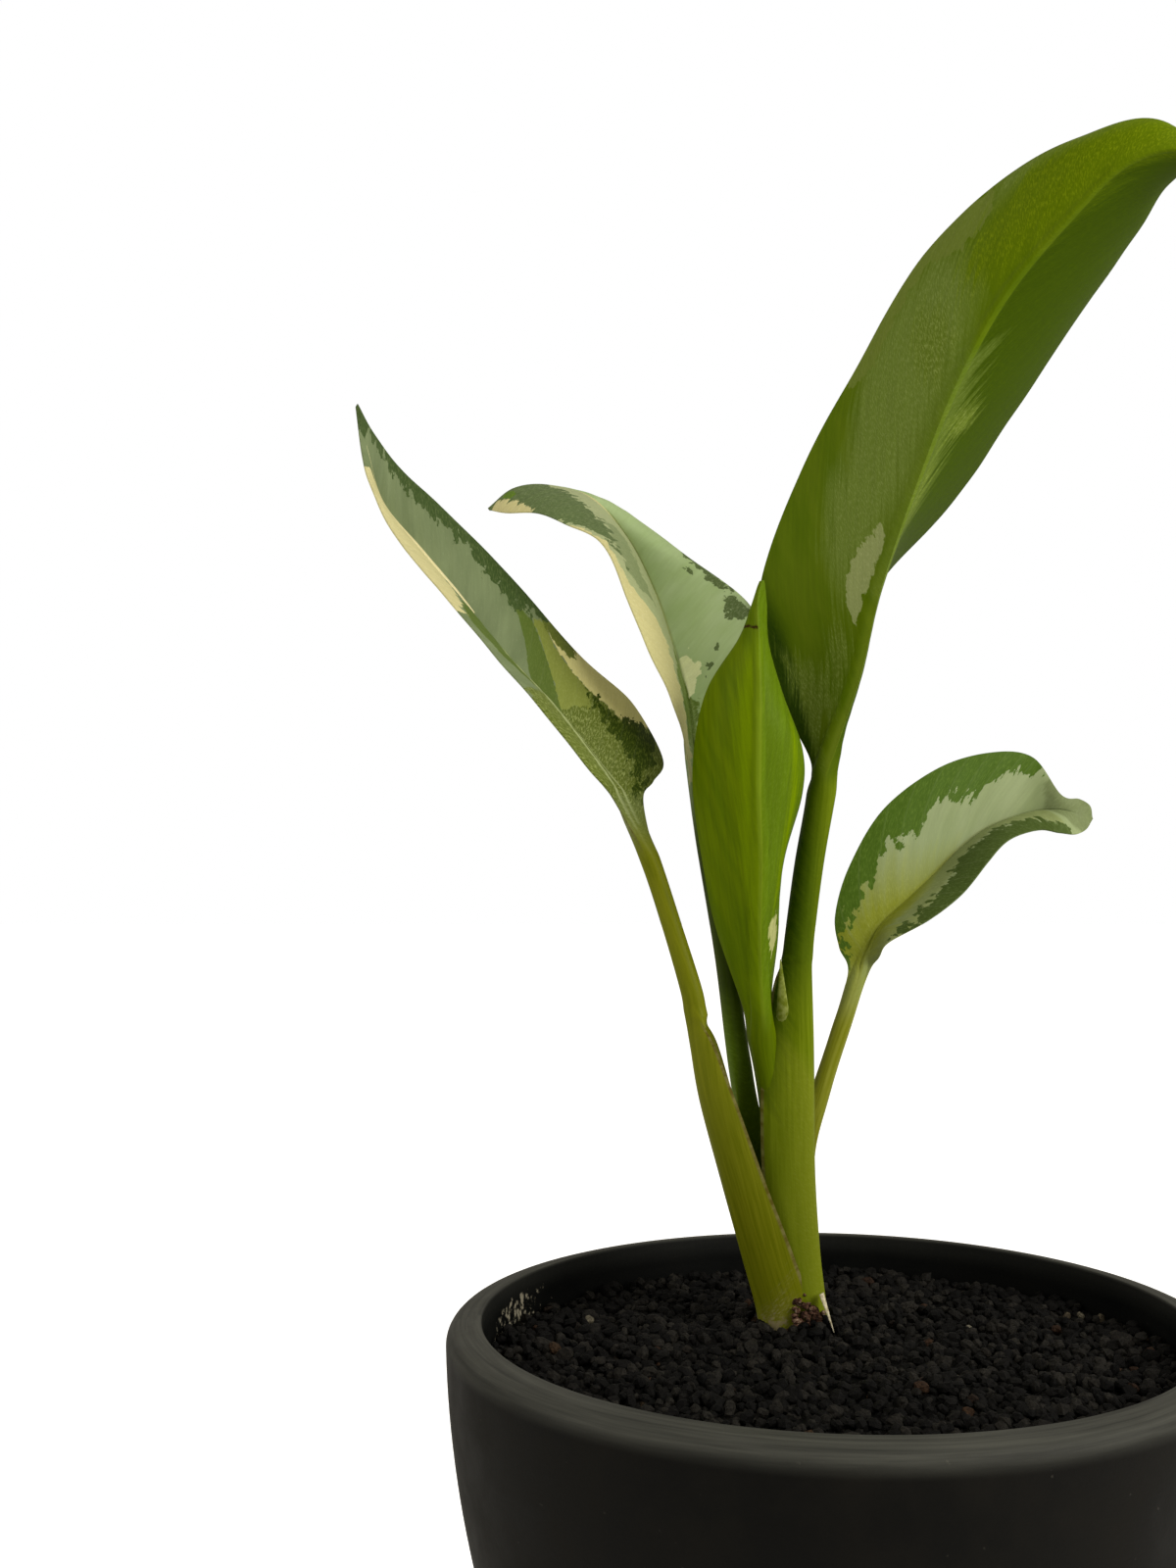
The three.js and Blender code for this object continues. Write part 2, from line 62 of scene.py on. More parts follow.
def linear(colour):
    """The linear colour for an sRGB hex value."""
    parts = [int(colour[i:i + 2], 16) / 255 for i in (1, 3, 5)]
    return [c / 12.92 if c <= 0.04045 else ((c + 0.055) / 1.055) ** 2.4 for c in parts] + [1]


def add(tree, kind, inputs=None, out=0, **settings):
    """Adds a node and gives the socket named by out, or the node itself where out is None. Each input is
    a value, or the socket that feeds it."""
    made = tree.nodes.new("ShaderNode" + kind)
    for key, value in settings.items():
        setattr(made, key, value)
    for key, value in (inputs or {}).items():
        if isinstance(value, bpy.types.NodeSocket):
            tree.links.new(value, made.inputs[key])
        else:
            made.inputs[key].default_value = value
    return made if out is None else made.outputs[out]


world = bpy.data.worlds.new("Studio air")
bpy.context.scene.world = world
world.use_nodes = True
air = world.node_tree
air.nodes.clear()
lit = add(air, "Background", {"Color": linear("#fff7e8"), "Strength": 0.42})
seen = add(air, "Background", {"Color": linear("#ffffff"), "Strength": 1.0})
by_camera = add(air, "LightPath", out="Is Camera Ray")
add(air, "OutputWorld", {"Surface": add(air, "MixShader", {0: by_camera, 1: lit, 2: seen})}, out=None)

for name, at, size, watts in (("Right lamp", (520, -330, 560), 500, 5.6),
                              ("Left lamp", (-620, -200, 480), 500, 1.6)):
    lamp = bpy.data.objects.new(name, bpy.data.lights.new(name, "AREA"))
    lamp.data.size = size * MM
    lamp.data.energy = watts
    lamp.data.color = linear("#fffaf0")[:3]
    lamp.location = Vector(at) * MM
    lamp.rotation_euler = (Vector((0, 0, 0.2)) - lamp.location).to_track_quat("-Z", "Y").to_euler()
    bpy.context.collection.objects.link(lamp)

# Floor: matt white paper, far wider than the view. It glows a little, so that it stays as white as
# the air behind it; the glow doesn't light the plant.
FLOOR_HALF = 3000


def finished(made, name, material, smooth=True):
    """Turns a bmesh in millimetres into an object in metres that wears one material."""
    bmesh.ops.scale(made, vec=(MM, MM, MM), verts=made.verts)
    mesh = bpy.data.meshes.new(name)
    made.to_mesh(mesh)
    made.free()
    if smooth:
        mesh.shade_smooth()
    else:
        mesh.shade_flat()
    mesh.materials.append(material)
    piece = bpy.data.objects.new(name, mesh)
    bpy.context.collection.objects.link(piece)
    return piece


def bare_material(name):
    """A new material and its empty node tree."""
    material = bpy.data.materials.new(name)
    material.use_nodes = True
    material.node_tree.nodes.clear()
    return material, material.node_tree


paper, tree = bare_material("White paper")
by_camera = add(tree, "LightPath", out="Is Camera Ray")
glow = add(tree, "Math", {0: by_camera, 1: 0.8}, operation="MULTIPLY")
skin = add(tree, "BsdfPrincipled", {
    "Base Color": linear("#f7f7f5"), "Roughness": 1.0, "Specular IOR Level": 0.0,
    "Emission Color": linear("#ffffff"), "Emission Strength": glow})
add(tree, "OutputMaterial", {"Surface": skin}, out=None)
made = bmesh.new()
bmesh.ops.create_grid(made, x_segments=4, y_segments=4, size=FLOOR_HALF)
finished(made, "floor", paper)

# Pot: moulded in black polypropylene with a dull, slightly sandy skin. The flat top of its wall was
# trimmed in a lathe, so it is greyer, with fine rings, and that grey is painted lighter still: a
# painted reflection of the bright air on the flat top. The side narrows with the square of the depth.
POT_HEIGHT = 120
RIM_RADIUS = 75.6
FOOT_RADIUS = 39
FOOT_ROUNDING = 6
FOOT_ARC_END = -30
FOOT_STEPS = 8
SIDE_START = 3
SIDE_STEPS = 36
MOUTH_RADIUS = 68.6
MOUTH_EDGE = ((0.5, 0.12), (0.15, 0.3), (0, 0.7))
INNER_FOOT_RADIUS = 34
INNER_STEPS = 24
FLOOR_THICKNESS = 6
LIP_WIDTH = 2.9
LIP_FALL = 0.6
LIP_ROUNDING = 3.8
LIP_STEPS = 12
POT_TURNS = 192
TRIM_START = 5.4
TRIM_FULL = 1.4
RING_PITCH = 0.8
RING_RISE = 2.5
SAND_WIDTH = 0.7
SMUDGE_WIDTH = 14
SPLASH_WIDTH = 2.2
LIME_HEIGHT = 2.6
LIME_DIRECTION = 158
LIME_TOP = 118.8
LIME_FOOT = 115


def wall_radius(height, top, foot):
    """The radius of one side of the wall at a height, from its radii at the rim and at the base."""
    return top - (top - foot) * (1 - height / POT_HEIGHT) ** 2


def turned(profile, turns):
    """A closed round body: a profile that starts and ends on the upright axis, spun once round it."""
    made = bmesh.new()
    corners = [made.verts.new((radius, 0, height)) for radius, height in profile]
    edges = [made.edges.new(pair) for pair in zip(corners, corners[1:])]
    bmesh.ops.spin(made, geom=corners + edges, axis=(0, 0, 1), cent=(0, 0, 0),
                   angle=2 * math.pi, steps=turns, use_merge=True)
    bmesh.ops.remove_doubles(made, verts=made.verts, dist=0.001)
    bmesh.ops.recalc_face_normals(made, faces=made.faces)
    return made


foot_reach = FOOT_ROUNDING * math.cos(math.radians(FOOT_ARC_END))
foot_centre = wall_radius(SIDE_START, RIM_RADIUS, FOOT_RADIUS) - foot_reach
profile = [(0, 0), (foot_centre * 0.5, 0)]
for step in range(FOOT_STEPS + 1):
    angle = math.radians(-90 + (FOOT_ARC_END + 90) * step / FOOT_STEPS)
    profile.append((foot_centre + FOOT_ROUNDING * math.cos(angle), FOOT_ROUNDING * (1 + math.sin(angle))))
lip_foot = POT_HEIGHT - LIP_FALL - LIP_ROUNDING
for step in range(1, SIDE_STEPS + 1):
    height = SIDE_START + (lip_foot - SIDE_START) * step / SIDE_STEPS
    profile.append((wall_radius(height, RIM_RADIUS, FOOT_RADIUS), height))
lip_centre = MOUTH_RADIUS + LIP_WIDTH
lip_reach = profile[-1][0] - lip_centre
for step in range(1, LIP_STEPS + 1):
    angle = math.radians(90 * step / LIP_STEPS)
    profile.append((lip_centre + lip_reach * math.cos(angle), lip_foot + LIP_ROUNDING * math.sin(angle)))
for inward, down in MOUTH_EDGE:
    profile.append((MOUTH_RADIUS + inward, POT_HEIGHT - down))
mouth_foot = profile[-1][1]
for step in range(1, INNER_STEPS + 1):
    height = mouth_foot - (mouth_foot - FLOOR_THICKNESS) * step / INNER_STEPS
    profile.append((wall_radius(height, MOUTH_RADIUS, INNER_FOOT_RADIUS), height))
profile.append((0, FLOOR_THICKNESS))


def mottled(tree, pattern, low, high, first, second):
    """Two colours in patches: the first where a pattern is under low, the second where it is over high."""
    share = add(tree, "MapRange", {0: pattern, 1: low, 2: high})
    return add(tree, "Mix", {0: share, 6: linear(first), 7: linear(second)}, out=2, data_type="RGBA")


# The plastic is near black and dull, and its side is a little uneven in gloss.
black_plastic, tree = bare_material("Moulded black polypropylene")
place = add(tree, "TexCoord", out="Object")
axes = add(tree, "SeparateXYZ", {0: place}, out=None)
x, y, z = axes.outputs
flat_place = add(tree, "CombineXYZ", {0: x, 1: y})
reach = add(tree, "VectorMath", {0: flat_place}, out="Value", operation="LENGTH")
turn = add(tree, "Math", {0: y, 1: x}, operation="ARCTAN2")
# The rings left by trimming fade in and out about every 30 mm round the pot.
ring_place = add(tree, "CombineXYZ", {
    0: add(tree, "Math", {0: reach, 1: 1 / (RING_PITCH * MM)}, operation="MULTIPLY"),
    1: add(tree, "Math", {0: turn, 1: 2.5}, operation="MULTIPLY"),
    2: add(tree, "Math", {0: z, 1: 1 / (RING_RISE * MM)}, operation="MULTIPLY")})
rings = add(tree, "TexNoise", {"Vector": ring_place, "Scale": 1, "Detail": 4, "Roughness": 0.6})
grain = add(tree, "TexNoise", {"Vector": place, "Scale": 1 / (SAND_WIDTH * MM), "Detail": 3,
                               "Roughness": 0.7})
smudges = add(tree, "TexNoise", {"Vector": place, "Scale": 1 / (SMUDGE_WIDTH * MM), "Detail": 4,
                                 "Roughness": 0.6})
specks = add(tree, "TexNoise", {"Vector": place, "Scale": 1 / (SPLASH_WIDTH * MM), "Detail": 2,
                                "Roughness": 0.5})
on_lip = add(tree, "MapRange", {0: z, 1: (POT_HEIGHT - TRIM_START) * MM, 2: (POT_HEIGHT - TRIM_FULL) * MM},
             interpolation_type="SMOOTHSTEP")
# How far a point lies outside the wall's inner face, which narrows with the square of the depth.
depth = add(tree, "Math", {0: z, 1: -1 / (POT_HEIGHT * MM), 2: 1.0}, operation="MULTIPLY_ADD")
narrowed = add(tree, "Math", {0: depth, 1: depth}, operation="MULTIPLY")
beyond = add(tree, "Math", {0: narrowed, 1: (MOUTH_RADIUS - INNER_FOOT_RADIUS) * MM, 2: reach},
             operation="MULTIPLY_ADD")
outside = add(tree, "MapRange", {0: beyond, 1: (MOUTH_RADIUS - 0.3) * MM, 2: (MOUTH_RADIUS + 0.4) * MM},
              interpolation_type="SMOOTHSTEP")
lip = add(tree, "Math", {0: on_lip, 1: outside}, operation="MULTIPLY")
side_colour = mottled(tree, smudges, 0.4, 0.72, "#060605", "#100f0c")
# The lip's colour is partly the greyer trimmed plastic and partly a painted reflection on its top.
lip_grey_and_reflection = mottled(tree, rings, 0.3, 0.7, "#2f302d", "#464742")
# Dust and dried splashes: sparse grey specks of about a millimetre.
dust = add(tree, "MapRange", {0: specks, 1: 0.74, 2: 0.82, 4: 0.4})
# Inside, a tide of hard-water lime stands just above the soil, thickest on the left, in marks about
# 1.5 mm wide.
tide_place = add(tree, "CombineXYZ", {
    0: add(tree, "Math", {0: turn, 1: 45}, operation="MULTIPLY"),
    1: add(tree, "Math", {0: z, 1: 1 / (LIME_HEIGHT * MM)}, operation="MULTIPLY")})
tide = add(tree, "TexNoise", {"Vector": tide_place, "Scale": 1, "Detail": 6, "Roughness": 0.7})
from_left = add(tree, "Math", {0: turn, 1: math.radians(LIME_DIRECTION)}, operation="SUBTRACT")
from_left = add(tree, "Math", {0: from_left}, operation="ABSOLUTE")
near_left = add(tree, "MapRange", {0: from_left, 1: math.radians(20), 2: math.radians(2)},
                interpolation_type="SMOOTHSTEP")
low_down = add(tree, "MapRange", {0: z, 1: LIME_TOP * MM, 2: LIME_FOOT * MM},
               interpolation_type="SMOOTHSTEP")
wanted = add(tree, "Math", {0: near_left, 1: low_down}, operation="MULTIPLY")
tide_level = add(tree, "Math", {0: wanted, 1: 0.24, 2: tide}, operation="MULTIPLY_ADD")
inside = add(tree, "Math", {0: 1, 1: outside}, operation="SUBTRACT")
lime = add(tree, "Math", {0: add(tree, "MapRange", {0: tide_level, 1: 0.745, 2: 0.8}), 1: inside},
           operation="MULTIPLY")
# Inside the wall the plastic is painted darker still, near black: painted shade down in the pot.
colour = side_colour
for amount, coat in ((lip, lip_grey_and_reflection), (dust, linear("#5a5850")), (inside, linear("#030505")),
                     (lime, linear("#a39d8a"))):
    colour = add(tree, "Mix", {0: amount, 6: colour, 7: coat}, out=2, data_type="RGBA")
relief = add(tree, "Math", {0: grain, 1: rings}, operation="ADD")
bump = add(tree, "Bump", {"Height": relief, "Distance": 0.05 * MM, "Strength": 0.5})
dull = add(tree, "MapRange", {0: smudges, 1: 0.3, 2: 0.7, 3: 0.5, 4: 0.66})
skin = add(tree, "BsdfPrincipled", {"Base Color": colour, "Roughness": dull, "Normal": bump,
                                    "Specular IOR Level": 0.12, "IOR": 1.4})
add(tree, "OutputMaterial", {"Surface": skin}, out=None)

pot = finished(turned(profile, POT_TURNS), "planter", black_plastic)
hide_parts("pot")
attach(pot, "root")

# Soil: a bed of baked black clay crumbs, 2 to 3 mm across, poured to 8 mm below the rim. Below the
# top layer the bed is one body with the same uneven top; the crumbs themselves lie on it and in it.
SOIL_TOP = 112
SOIL_GAP = 0.3
BED_TOP = SOIL_TOP - 1
BED_SIDE_STEPS = 12
BED_RINGS = 34
BED_TURNS = 144
CROWN = Vector((-5, 22, 0))
SHEATH_ROOM = 6.0
MOUND = 2.4
MOUND_WIDTH = 7.0
BROAD_SWELL = 14
SMALL_SWELL = 5
PIT_WIDTH = 0.5


def heap(x, y):
    """How far the bed's top stands above or below its level at a place, in broad and small swells."""
    broad = noise.noise(Vector((x / BROAD_SWELL, y / BROAD_SWELL, 2.5)))
    small = noise.noise(Vector((x / SMALL_SWELL, y / SMALL_SWELL, 7.1)))
    return broad + 0.5 * small


bed_wall = wall_radius(SOIL_TOP, MOUTH_RADIUS, INNER_FOOT_RADIUS) - SOIL_GAP
profile = [(0, FLOOR_THICKNESS + SOIL_GAP)]
for step in range(BED_SIDE_STEPS + 1):
    height = FLOOR_THICKNESS + SOIL_GAP + (BED_TOP - 1 - FLOOR_THICKNESS) * step / BED_SIDE_STEPS
    profile.append((wall_radius(height, MOUTH_RADIUS, INNER_FOOT_RADIUS) - SOIL_GAP, height))
for step in range(BED_RINGS, -1, -1):
    profile.append((bed_wall * step / BED_RINGS, BED_TOP))
made = turned(profile, BED_TURNS)
for vert in made.verts:
    if vert.co.z > BED_TOP - 0.5:
        vert.co.z += heap(vert.co.x, vert.co.y)

# Fired clay is matt and pitted; most crumbs are black, and a few are grey, rusty or pale.
black_clay, tree = bare_material("Baked black clay")
place = add(tree, "TexCoord", out="Object")
pits = add(tree, "TexNoise", {"Vector": place, "Scale": 1 / (PIT_WIDTH * MM), "Detail": 4,
                              "Roughness": 0.75})
shade = add(tree, "Attribute", attribute_name="shade", out="Fac")
crumb_colour = add(tree, "ValToRGB", {0: shade}, out=None)
ramp = crumb_colour.color_ramp
ramp.elements[0].color = linear("#020202")
ramp.elements[1].position = 0.6
ramp.elements[1].color = linear("#0e0d0c")
for position, tone in ((0.97, "#2a2824"), (0.984, "#1c1915"), (0.991, "#3a261a"), (0.996, "#463a2a"),
                       (0.9992, "#7a7666")):
    ramp.elements.new(position).color = linear(tone)
# The hollows of the pitted relief are painted darker, towards near black: painted shade in the pits.
colour = add(tree, "Mix", {0: add(tree, "MapRange", {0: pits, 1: 0.38, 2: 0.66, 3: 0.25, 4: 1.0}),
                           6: linear("#020202"), 7: crumb_colour.outputs[0]}, out=2, data_type="RGBA")
bump = add(tree, "Bump", {"Height": pits, "Distance": 0.3 * MM, "Strength": 0.7})
skin = add(tree, "BsdfPrincipled", {"Base Color": colour, "Roughness": 0.65, "Normal": bump,
                                    "Specular IOR Level": 0.08})
add(tree, "OutputMaterial", {"Surface": skin}, out=None)

bed = finished(made, "soil_bed", black_clay)
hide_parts("soil")
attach(bed, "root")

# Crumbs: loose baked clay, broken and tumbled, so no two lie alike. Eight shapes are turned and sized
# at random in two layers, the upper one with gaps, and each sector of the bed is one piece.
CRUMB_KINDS = 8
CRUMB_PITCH = 2.3
ROW_PITCH = CRUMB_PITCH * 0.87
CRUMB_JITTER = 0.75
CRUMB_SIZES = (0.75, 1.45)
CRUMB_SINK = 0.6
LARGE_SHARE = 0.12
LARGE_FACTOR = 1.25
LAYERS = ({"lifts": (-1.2, -0.5), "share": 1.0}, {"lifts": (-0.2, 0.9), "share": 0.72})
SECTORS = 4
draw = random.Random(41)
crumbs = []
# Each shape is a cube blown up to a lumpy ball and then flattened.
for kind in range(CRUMB_KINDS):
    made = bmesh.new()
    bmesh.ops.create_cube(made, size=2)
    bmesh.ops.subdivide_edges(made, edges=made.edges, cuts=1, use_grid_fill=True)
    for vert in made.verts:
        away = vert.co.normalized()
        swell = 0.4 * noise.noise(away * 1.4 + Vector((11 * kind, 0, 0)))
        swell += 0.3 * noise.noise(away * 3.1 + Vector((0, 7 * kind, 0)))
        vert.co = away * (1.03 + swell)
    bmesh.ops.scale(made, vec=(1.18, 0.95, 0.8), verts=made.verts)
    mesh = bpy.data.meshes.new("crumb")
    made.to_mesh(mesh)
    made.free()
    crumbs.append(mesh)

# The crumbs lie in staggered rows that are shaken loose, and rise where they bank up at the sheaths.
heaps = [bmesh.new() for sector in range(SECTORS)]
shades = [[] for sector in range(SECTORS)]
for level, layer in enumerate(LAYERS):
    rows = int(2 * bed_wall / ROW_PITCH) + 2
    for row in range(rows):
        for column in range(rows):
            x = -bed_wall + CRUMB_PITCH * (column + 0.5 * ((row + level) % 2))
            x += draw.uniform(-CRUMB_JITTER, CRUMB_JITTER)
            y = -bed_wall + ROW_PITCH * row + draw.uniform(-CRUMB_JITTER, CRUMB_JITTER)
            size = draw.uniform(*CRUMB_SIZES) * (LARGE_FACTOR if draw.random() < LARGE_SHARE else 1)
            lift = draw.uniform(*layer["lifts"])
            axis = Vector((draw.gauss(0, 1), draw.gauss(0, 1), draw.gauss(0, 1)))
            spin = Matrix.Rotation(draw.uniform(0, math.tau), 4, axis)
            kind = draw.randrange(len(crumbs))
            shade = draw.random()
            kept = draw.random() < layer["share"]
            if math.hypot(x, y) + size > bed_wall - 0.1 or not kept:
                continue
            from_crown = math.hypot(x - CROWN.x, y - CROWN.y)
            if from_crown < SHEATH_ROOM + size:
                continue
            mound = MOUND * max(0, 1 - (from_crown - SHEATH_ROOM) / MOUND_WIDTH)
            height = SOIL_TOP - CRUMB_SINK + heap(x, y) + lift + mound
            where = Matrix.Translation((x, y, height)) @ spin @ Matrix.Scale(size, 4)
            sector = int((math.atan2(y, x) / math.tau % 1) * SECTORS)
            crumbs[kind].transform(where)
            heaps[sector].from_mesh(crumbs[kind])
            crumbs[kind].transform(where.inverted())
            shades[sector] += [shade] * len(crumbs[kind].vertices)
for sector, made in enumerate(heaps):
    loose = finished(made, "soil_crumbs_%d" % (sector + 1), black_clay, smooth=False)
    loose.data.attributes.new("shade", "FLOAT", "POINT").data.foreach_set("value", shades[sector])
    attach(loose, "root")

# Leaves: each is one growth, from the sheath that wraps the stem, through the round petiole, to the
# thin blade. They are fleshy and smooth with a low wax gloss; the pattern is in the living tissue.
SHEET_AT_RIB = 0.8
SHEET_AT_MARGIN = 0.3
TIP_HALF_WIDTH = 0.5
COLUMNS = 56
CROWDING = 1.7
ROWS_PER_SPAN = 16
RUN_STEPS = 400
VEIN_PITCH = 4.6
QUILT = 0.04
RIB_SINK = 0.55
RIPPLE_WIDTH = 11
HOLLOW_RATE = 1.1
KEEL_WALL = 0.3
PATCH_REACH = 8
STAIN_WIDTH = 2.0
STAIN_TOP = 119
STAIN_FOOT = 111


def stalk(x, y, z, face, radius, half, reach=0.0, camber=0.0):
    """A station of the petiole or sheath: its keel's place, the way its open side faces in degrees, its
    radius, and for the sheath half the width between its margins and how far they reach round."""
    turn = math.radians(face)
    keel = np.array((x, y, z))
    forward = reach * np.array((math.cos(turn), math.sin(turn), 0))
    sideways = half * np.array((-math.sin(turn), math.cos(turn), 0))
    return keel, keel + forward - sideways, keel + forward + sideways, radius, camber


def blade(mid, left, right, rib, camber=0.0):
    """A station of the blade: its midrib and both margins as seen from its upper side."""
    return np.array(mid), np.array(left), np.array(right), rib, camber


def tip(mid, last):
    """The last station, narrow and turned as the one before it."""
    sideways = last[2] - last[1]
    sideways = sideways / np.linalg.norm(sideways) * TIP_HALF_WIDTH
    mid = np.array(mid)
    return mid, mid - sideways, mid + sideways, 0, 0


def along_line(stations, place):
    """A smooth line through evenly counted stations, and its direction, at places from 0 to 1."""
    stations = np.array(stations, float).reshape(len(stations), -1)
    ends = np.vstack([2 * stations[:1] - stations[1:2], stations, 2 * stations[-1:] - stations[-2:-1]])
    span = np.minimum((place * (len(stations) - 1)).astype(int), len(stations) - 2)
    t = (place * (len(stations) - 1) - span)[:, None]
    a, b, c, d = (ends[span + i] for i in range(4))
    first, second, third = c - a, 2 * a - 5 * b + 4 * c - d, 3 * b - a - 3 * c + d
    point = b + 0.5 * (first * t + second * t ** 2 + third * t ** 3)
    slope = 0.5 * (first + 2 * second * t + 3 * third * t ** 2)
    return point, slope


def run_lengths(stations):
    """Places from 0 to 1 along a leaf and the length of midrib up to each, in mm."""
    places = np.linspace(0, 1, RUN_STEPS)
    points = along_line([s[0] for s in stations], places)[0]
    steps = np.linalg.norm(np.diff(points, axis=0), axis=1)
    return places, np.concatenate([[0], np.cumsum(steps)])


def unit(vectors):
    """Each row's direction, one long."""
    return vectors / np.maximum(np.linalg.norm(vectors, axis=1, keepdims=True), 1e-9)


def smooth_step(low, high, value):
    """0 under low, 1 over high, and a smooth curve between them."""
    part = np.clip((value - low) / (high - low), 0, 1)
    return part * part * (3 - 2 * part)


def inside_patch(outline, vein, spread, half_width):
    """How far inside a patch each point lies, in mm. The outline names side veins by where they leave the
    midrib, in mm from the leaf's foot, each with the patch's two edges along it, from -1 at the left
    margin to 1 at the right."""
    at, low, high = np.array(outline, float).T
    low, high = np.interp(vein, at, low), np.interp(vein, at, high)
    low, high = np.where(low <= -1, -9, low), np.where(high >= 1, 9, high)
    depth = np.minimum(spread - low, high - spread) * half_width
    return np.minimum(depth, np.minimum(vein - at[0], at[-1] - vein))


def closed_sheet(name, spans):
    """A flat closed sheet, so many spans long: its mesh, and where each of its points lies across it
    (-1 to 1), along it (0 to 1) and through it (-1 or 1)."""
    made = bmesh.new()
    bmesh.ops.create_grid(made, x_segments=COLUMNS, y_segments=spans * ROWS_PER_SPAN, size=0.5)
    sheet = bmesh.ops.extrude_face_region(made, geom=made.faces[:], use_keep_orig=True)
    lifted = [part for part in sheet["geom"] if isinstance(part, bmesh.types.BMVert)]
    bmesh.ops.translate(made, vec=(0, 0, 1), verts=lifted)
    bmesh.ops.recalc_face_normals(made, faces=made.faces)
    mesh = bpy.data.meshes.new(name)
    made.to_mesh(mesh)
    made.free()
    co = np.empty(len(mesh.vertices) * 3)
    mesh.vertices.foreach_get("co", co)
    co = co.reshape(-1, 3)
    return mesh, 2 * co[:, 0], co[:, 1] + 0.5, np.where(co[:, 2] > 0.5, 1.0, -1.0)


def mark_points(mesh, attributes, maps):
    """Writes one value for each point as an attribute, and two for each as a UV map."""
    for key, values in attributes.items():
        mesh.attributes.new(key, "FLOAT", "POINT").data.foreach_set("value", values)
    corner = np.empty(len(mesh.loops), int)
    mesh.loops.foreach_get("vertex_index", corner)
    for key, pair in maps.items():
        mesh.uv_layers.new(name=key).data.foreach_set("uv", np.stack(pair, 1)[corner].ravel())


def grow_leaf(node, stations, patches, material, end, first_blade, slant, seed, wave=0.35):
    """Bends a closed sheet into a leaf and hands it to the frame in the place of one node. Its width runs
    between the margins and its length from foot to tip. The UV map 'Veins' holds centimetres across and
    along the side veins, 'Length' the same across and along the midrib, 'Spread' the share of the
    half-width and of the length, and one attribute for each patch says how far inside it a point is."""
    stations = stations + [tip(end, stations[-1])]
    spans = len(stations) - 1
    mesh, across, place, side = closed_sheet(node + "_grown", spans)
    mid, tangent = along_line([s[0] for s in stations], place)
    tangent = unit(tangent)
    left = along_line([s[1] for s in stations], place)[0] - mid
    right = along_line([s[2] for s in stations], place)[0] - mid
    radius, camber = (along_line([s[i] for s in stations], place)[0][:, 0] for i in (3, 4))
    left_up, right_up = unit(np.cross(tangent, left)), unit(np.cross(right, tangent))
    both_up = unit(left_up + right_up)
    is_left = (across < 0)[:, None]
    outward = np.where(is_left, left, right)
    width = np.linalg.norm(outward, axis=1)
    roundness = np.clip(radius / width, 0, 1)
    part = np.abs(across) ** (CROWDING - roundness)
    distance = part * width
    is_blade = smooth_step((first_blade - 1) / spans, (first_blade + 0.5) / spans, place)

    # The blade: a thin sheet, thicker and rounded over the midrib, with a slight quilt between veins.
    side_up = np.where(is_left, left_up, right_up)
    turned_out = smooth_step(0, 1, distance / np.maximum(radius, 0.2))[:, None]
    normal = unit(both_up * (1 - turned_out) + side_up * turned_out)
    round_part = np.sqrt(np.maximum(0, radius ** 2 - distance ** 2))
    thickness = SHEET_AT_RIB * (1 - part) + SHEET_AT_MARGIN * part
    thickness = np.where(roundness > 0.9, SHEET_AT_RIB, thickness)
    sunk = 1 - RIB_SINK * is_blade * (1 - roundness)
    bulge = np.where(side > 0, round_part * roundness, -round_part * sunk)
    run_mm = np.interp(place, *run_lengths(stations))
    vein = run_mm - slant * distance
    quilt = QUILT * np.cos(math.tau * vein / VEIN_PITCH) * 4 * part * (1 - part) * is_blade
    ripple = [noise.noise(Vector((run / RIPPLE_WIDTH, seed, 4.0 if left_half else 9.0)))
              for run, left_half in zip(run_mm, across < 0)]
    lift = camber * 4 * part * (1 - part) + bulge + side * thickness / 2 + quilt
    lift += wave * np.array(ripple) * part ** 3 * is_blade * np.clip(width / 8, 0, 1)
    sheet = mid + outward * part[:, None] + normal * lift[:, None]

    # The petiole is round and the sheath a U: a quarter of an oval on each side, inside and out.
    middle = (left + right) / 2
    sideways = outward - middle
    angle = (np.abs(across) * math.pi / 2)[:, None]
    solid = radius + SHEET_AT_RIB / 2
    wall = np.minimum(solid, HOLLOW_RATE * solid * roundness ** 2 + KEEL_WALL)
    depth = np.where(side > 0, wall, -solid)[:, None]
    edge = (side * SHEET_AT_MARGIN / 2)[:, None]
    half = np.maximum(np.linalg.norm(sideways, axis=1), 1)
    rounded = smooth_step(0.7, 0.95, roundness) * SHEET_AT_RIB / 3 / half
    tube = mid + middle * (1 - np.cos(angle)) + both_up * (depth * np.cos(angle) + edge * np.sin(angle))
    tube += sideways * np.sin(angle) * (1 + rounded)[:, None]
    spot = sheet * is_blade[:, None] + tube * (1 - is_blade)[:, None]
    mesh.vertices.foreach_set("co", (spot * MM).ravel())

    sheath = (1 - is_blade) * (1 - smooth_step(0.6, 0.85, roundness))
    attributes = {"blade": is_blade, "sheath": sheath, "underside": (side < 0).astype(float)}
    spread = part * np.sign(across)
    for kind, patch in patches.items():
        depths = [inside_patch(outline, vein, spread, width) for outline in patch[-1]]
        attributes[kind] = np.clip(np.max(depths, axis=0), -PATCH_REACH, PATCH_REACH)
    mark_points(mesh, attributes, {"Veins": (vein / 10, (run_mm + distance) / 10),
                                   "Length": (distance * np.sign(across) / 10, run_mm / 10),
                                   "Spread": (np.where(is_blade > 0.5, spread, across), place)})
    mesh.shade_smooth()
    mesh.set_sharp_from_angle(angle=math.radians(60))
    mesh.materials.append(material)
    piece = bpy.data.objects.new(node + "_grown", mesh)
    bpy.context.collection.objects.link(piece)
    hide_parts(node)
    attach(piece, "root")


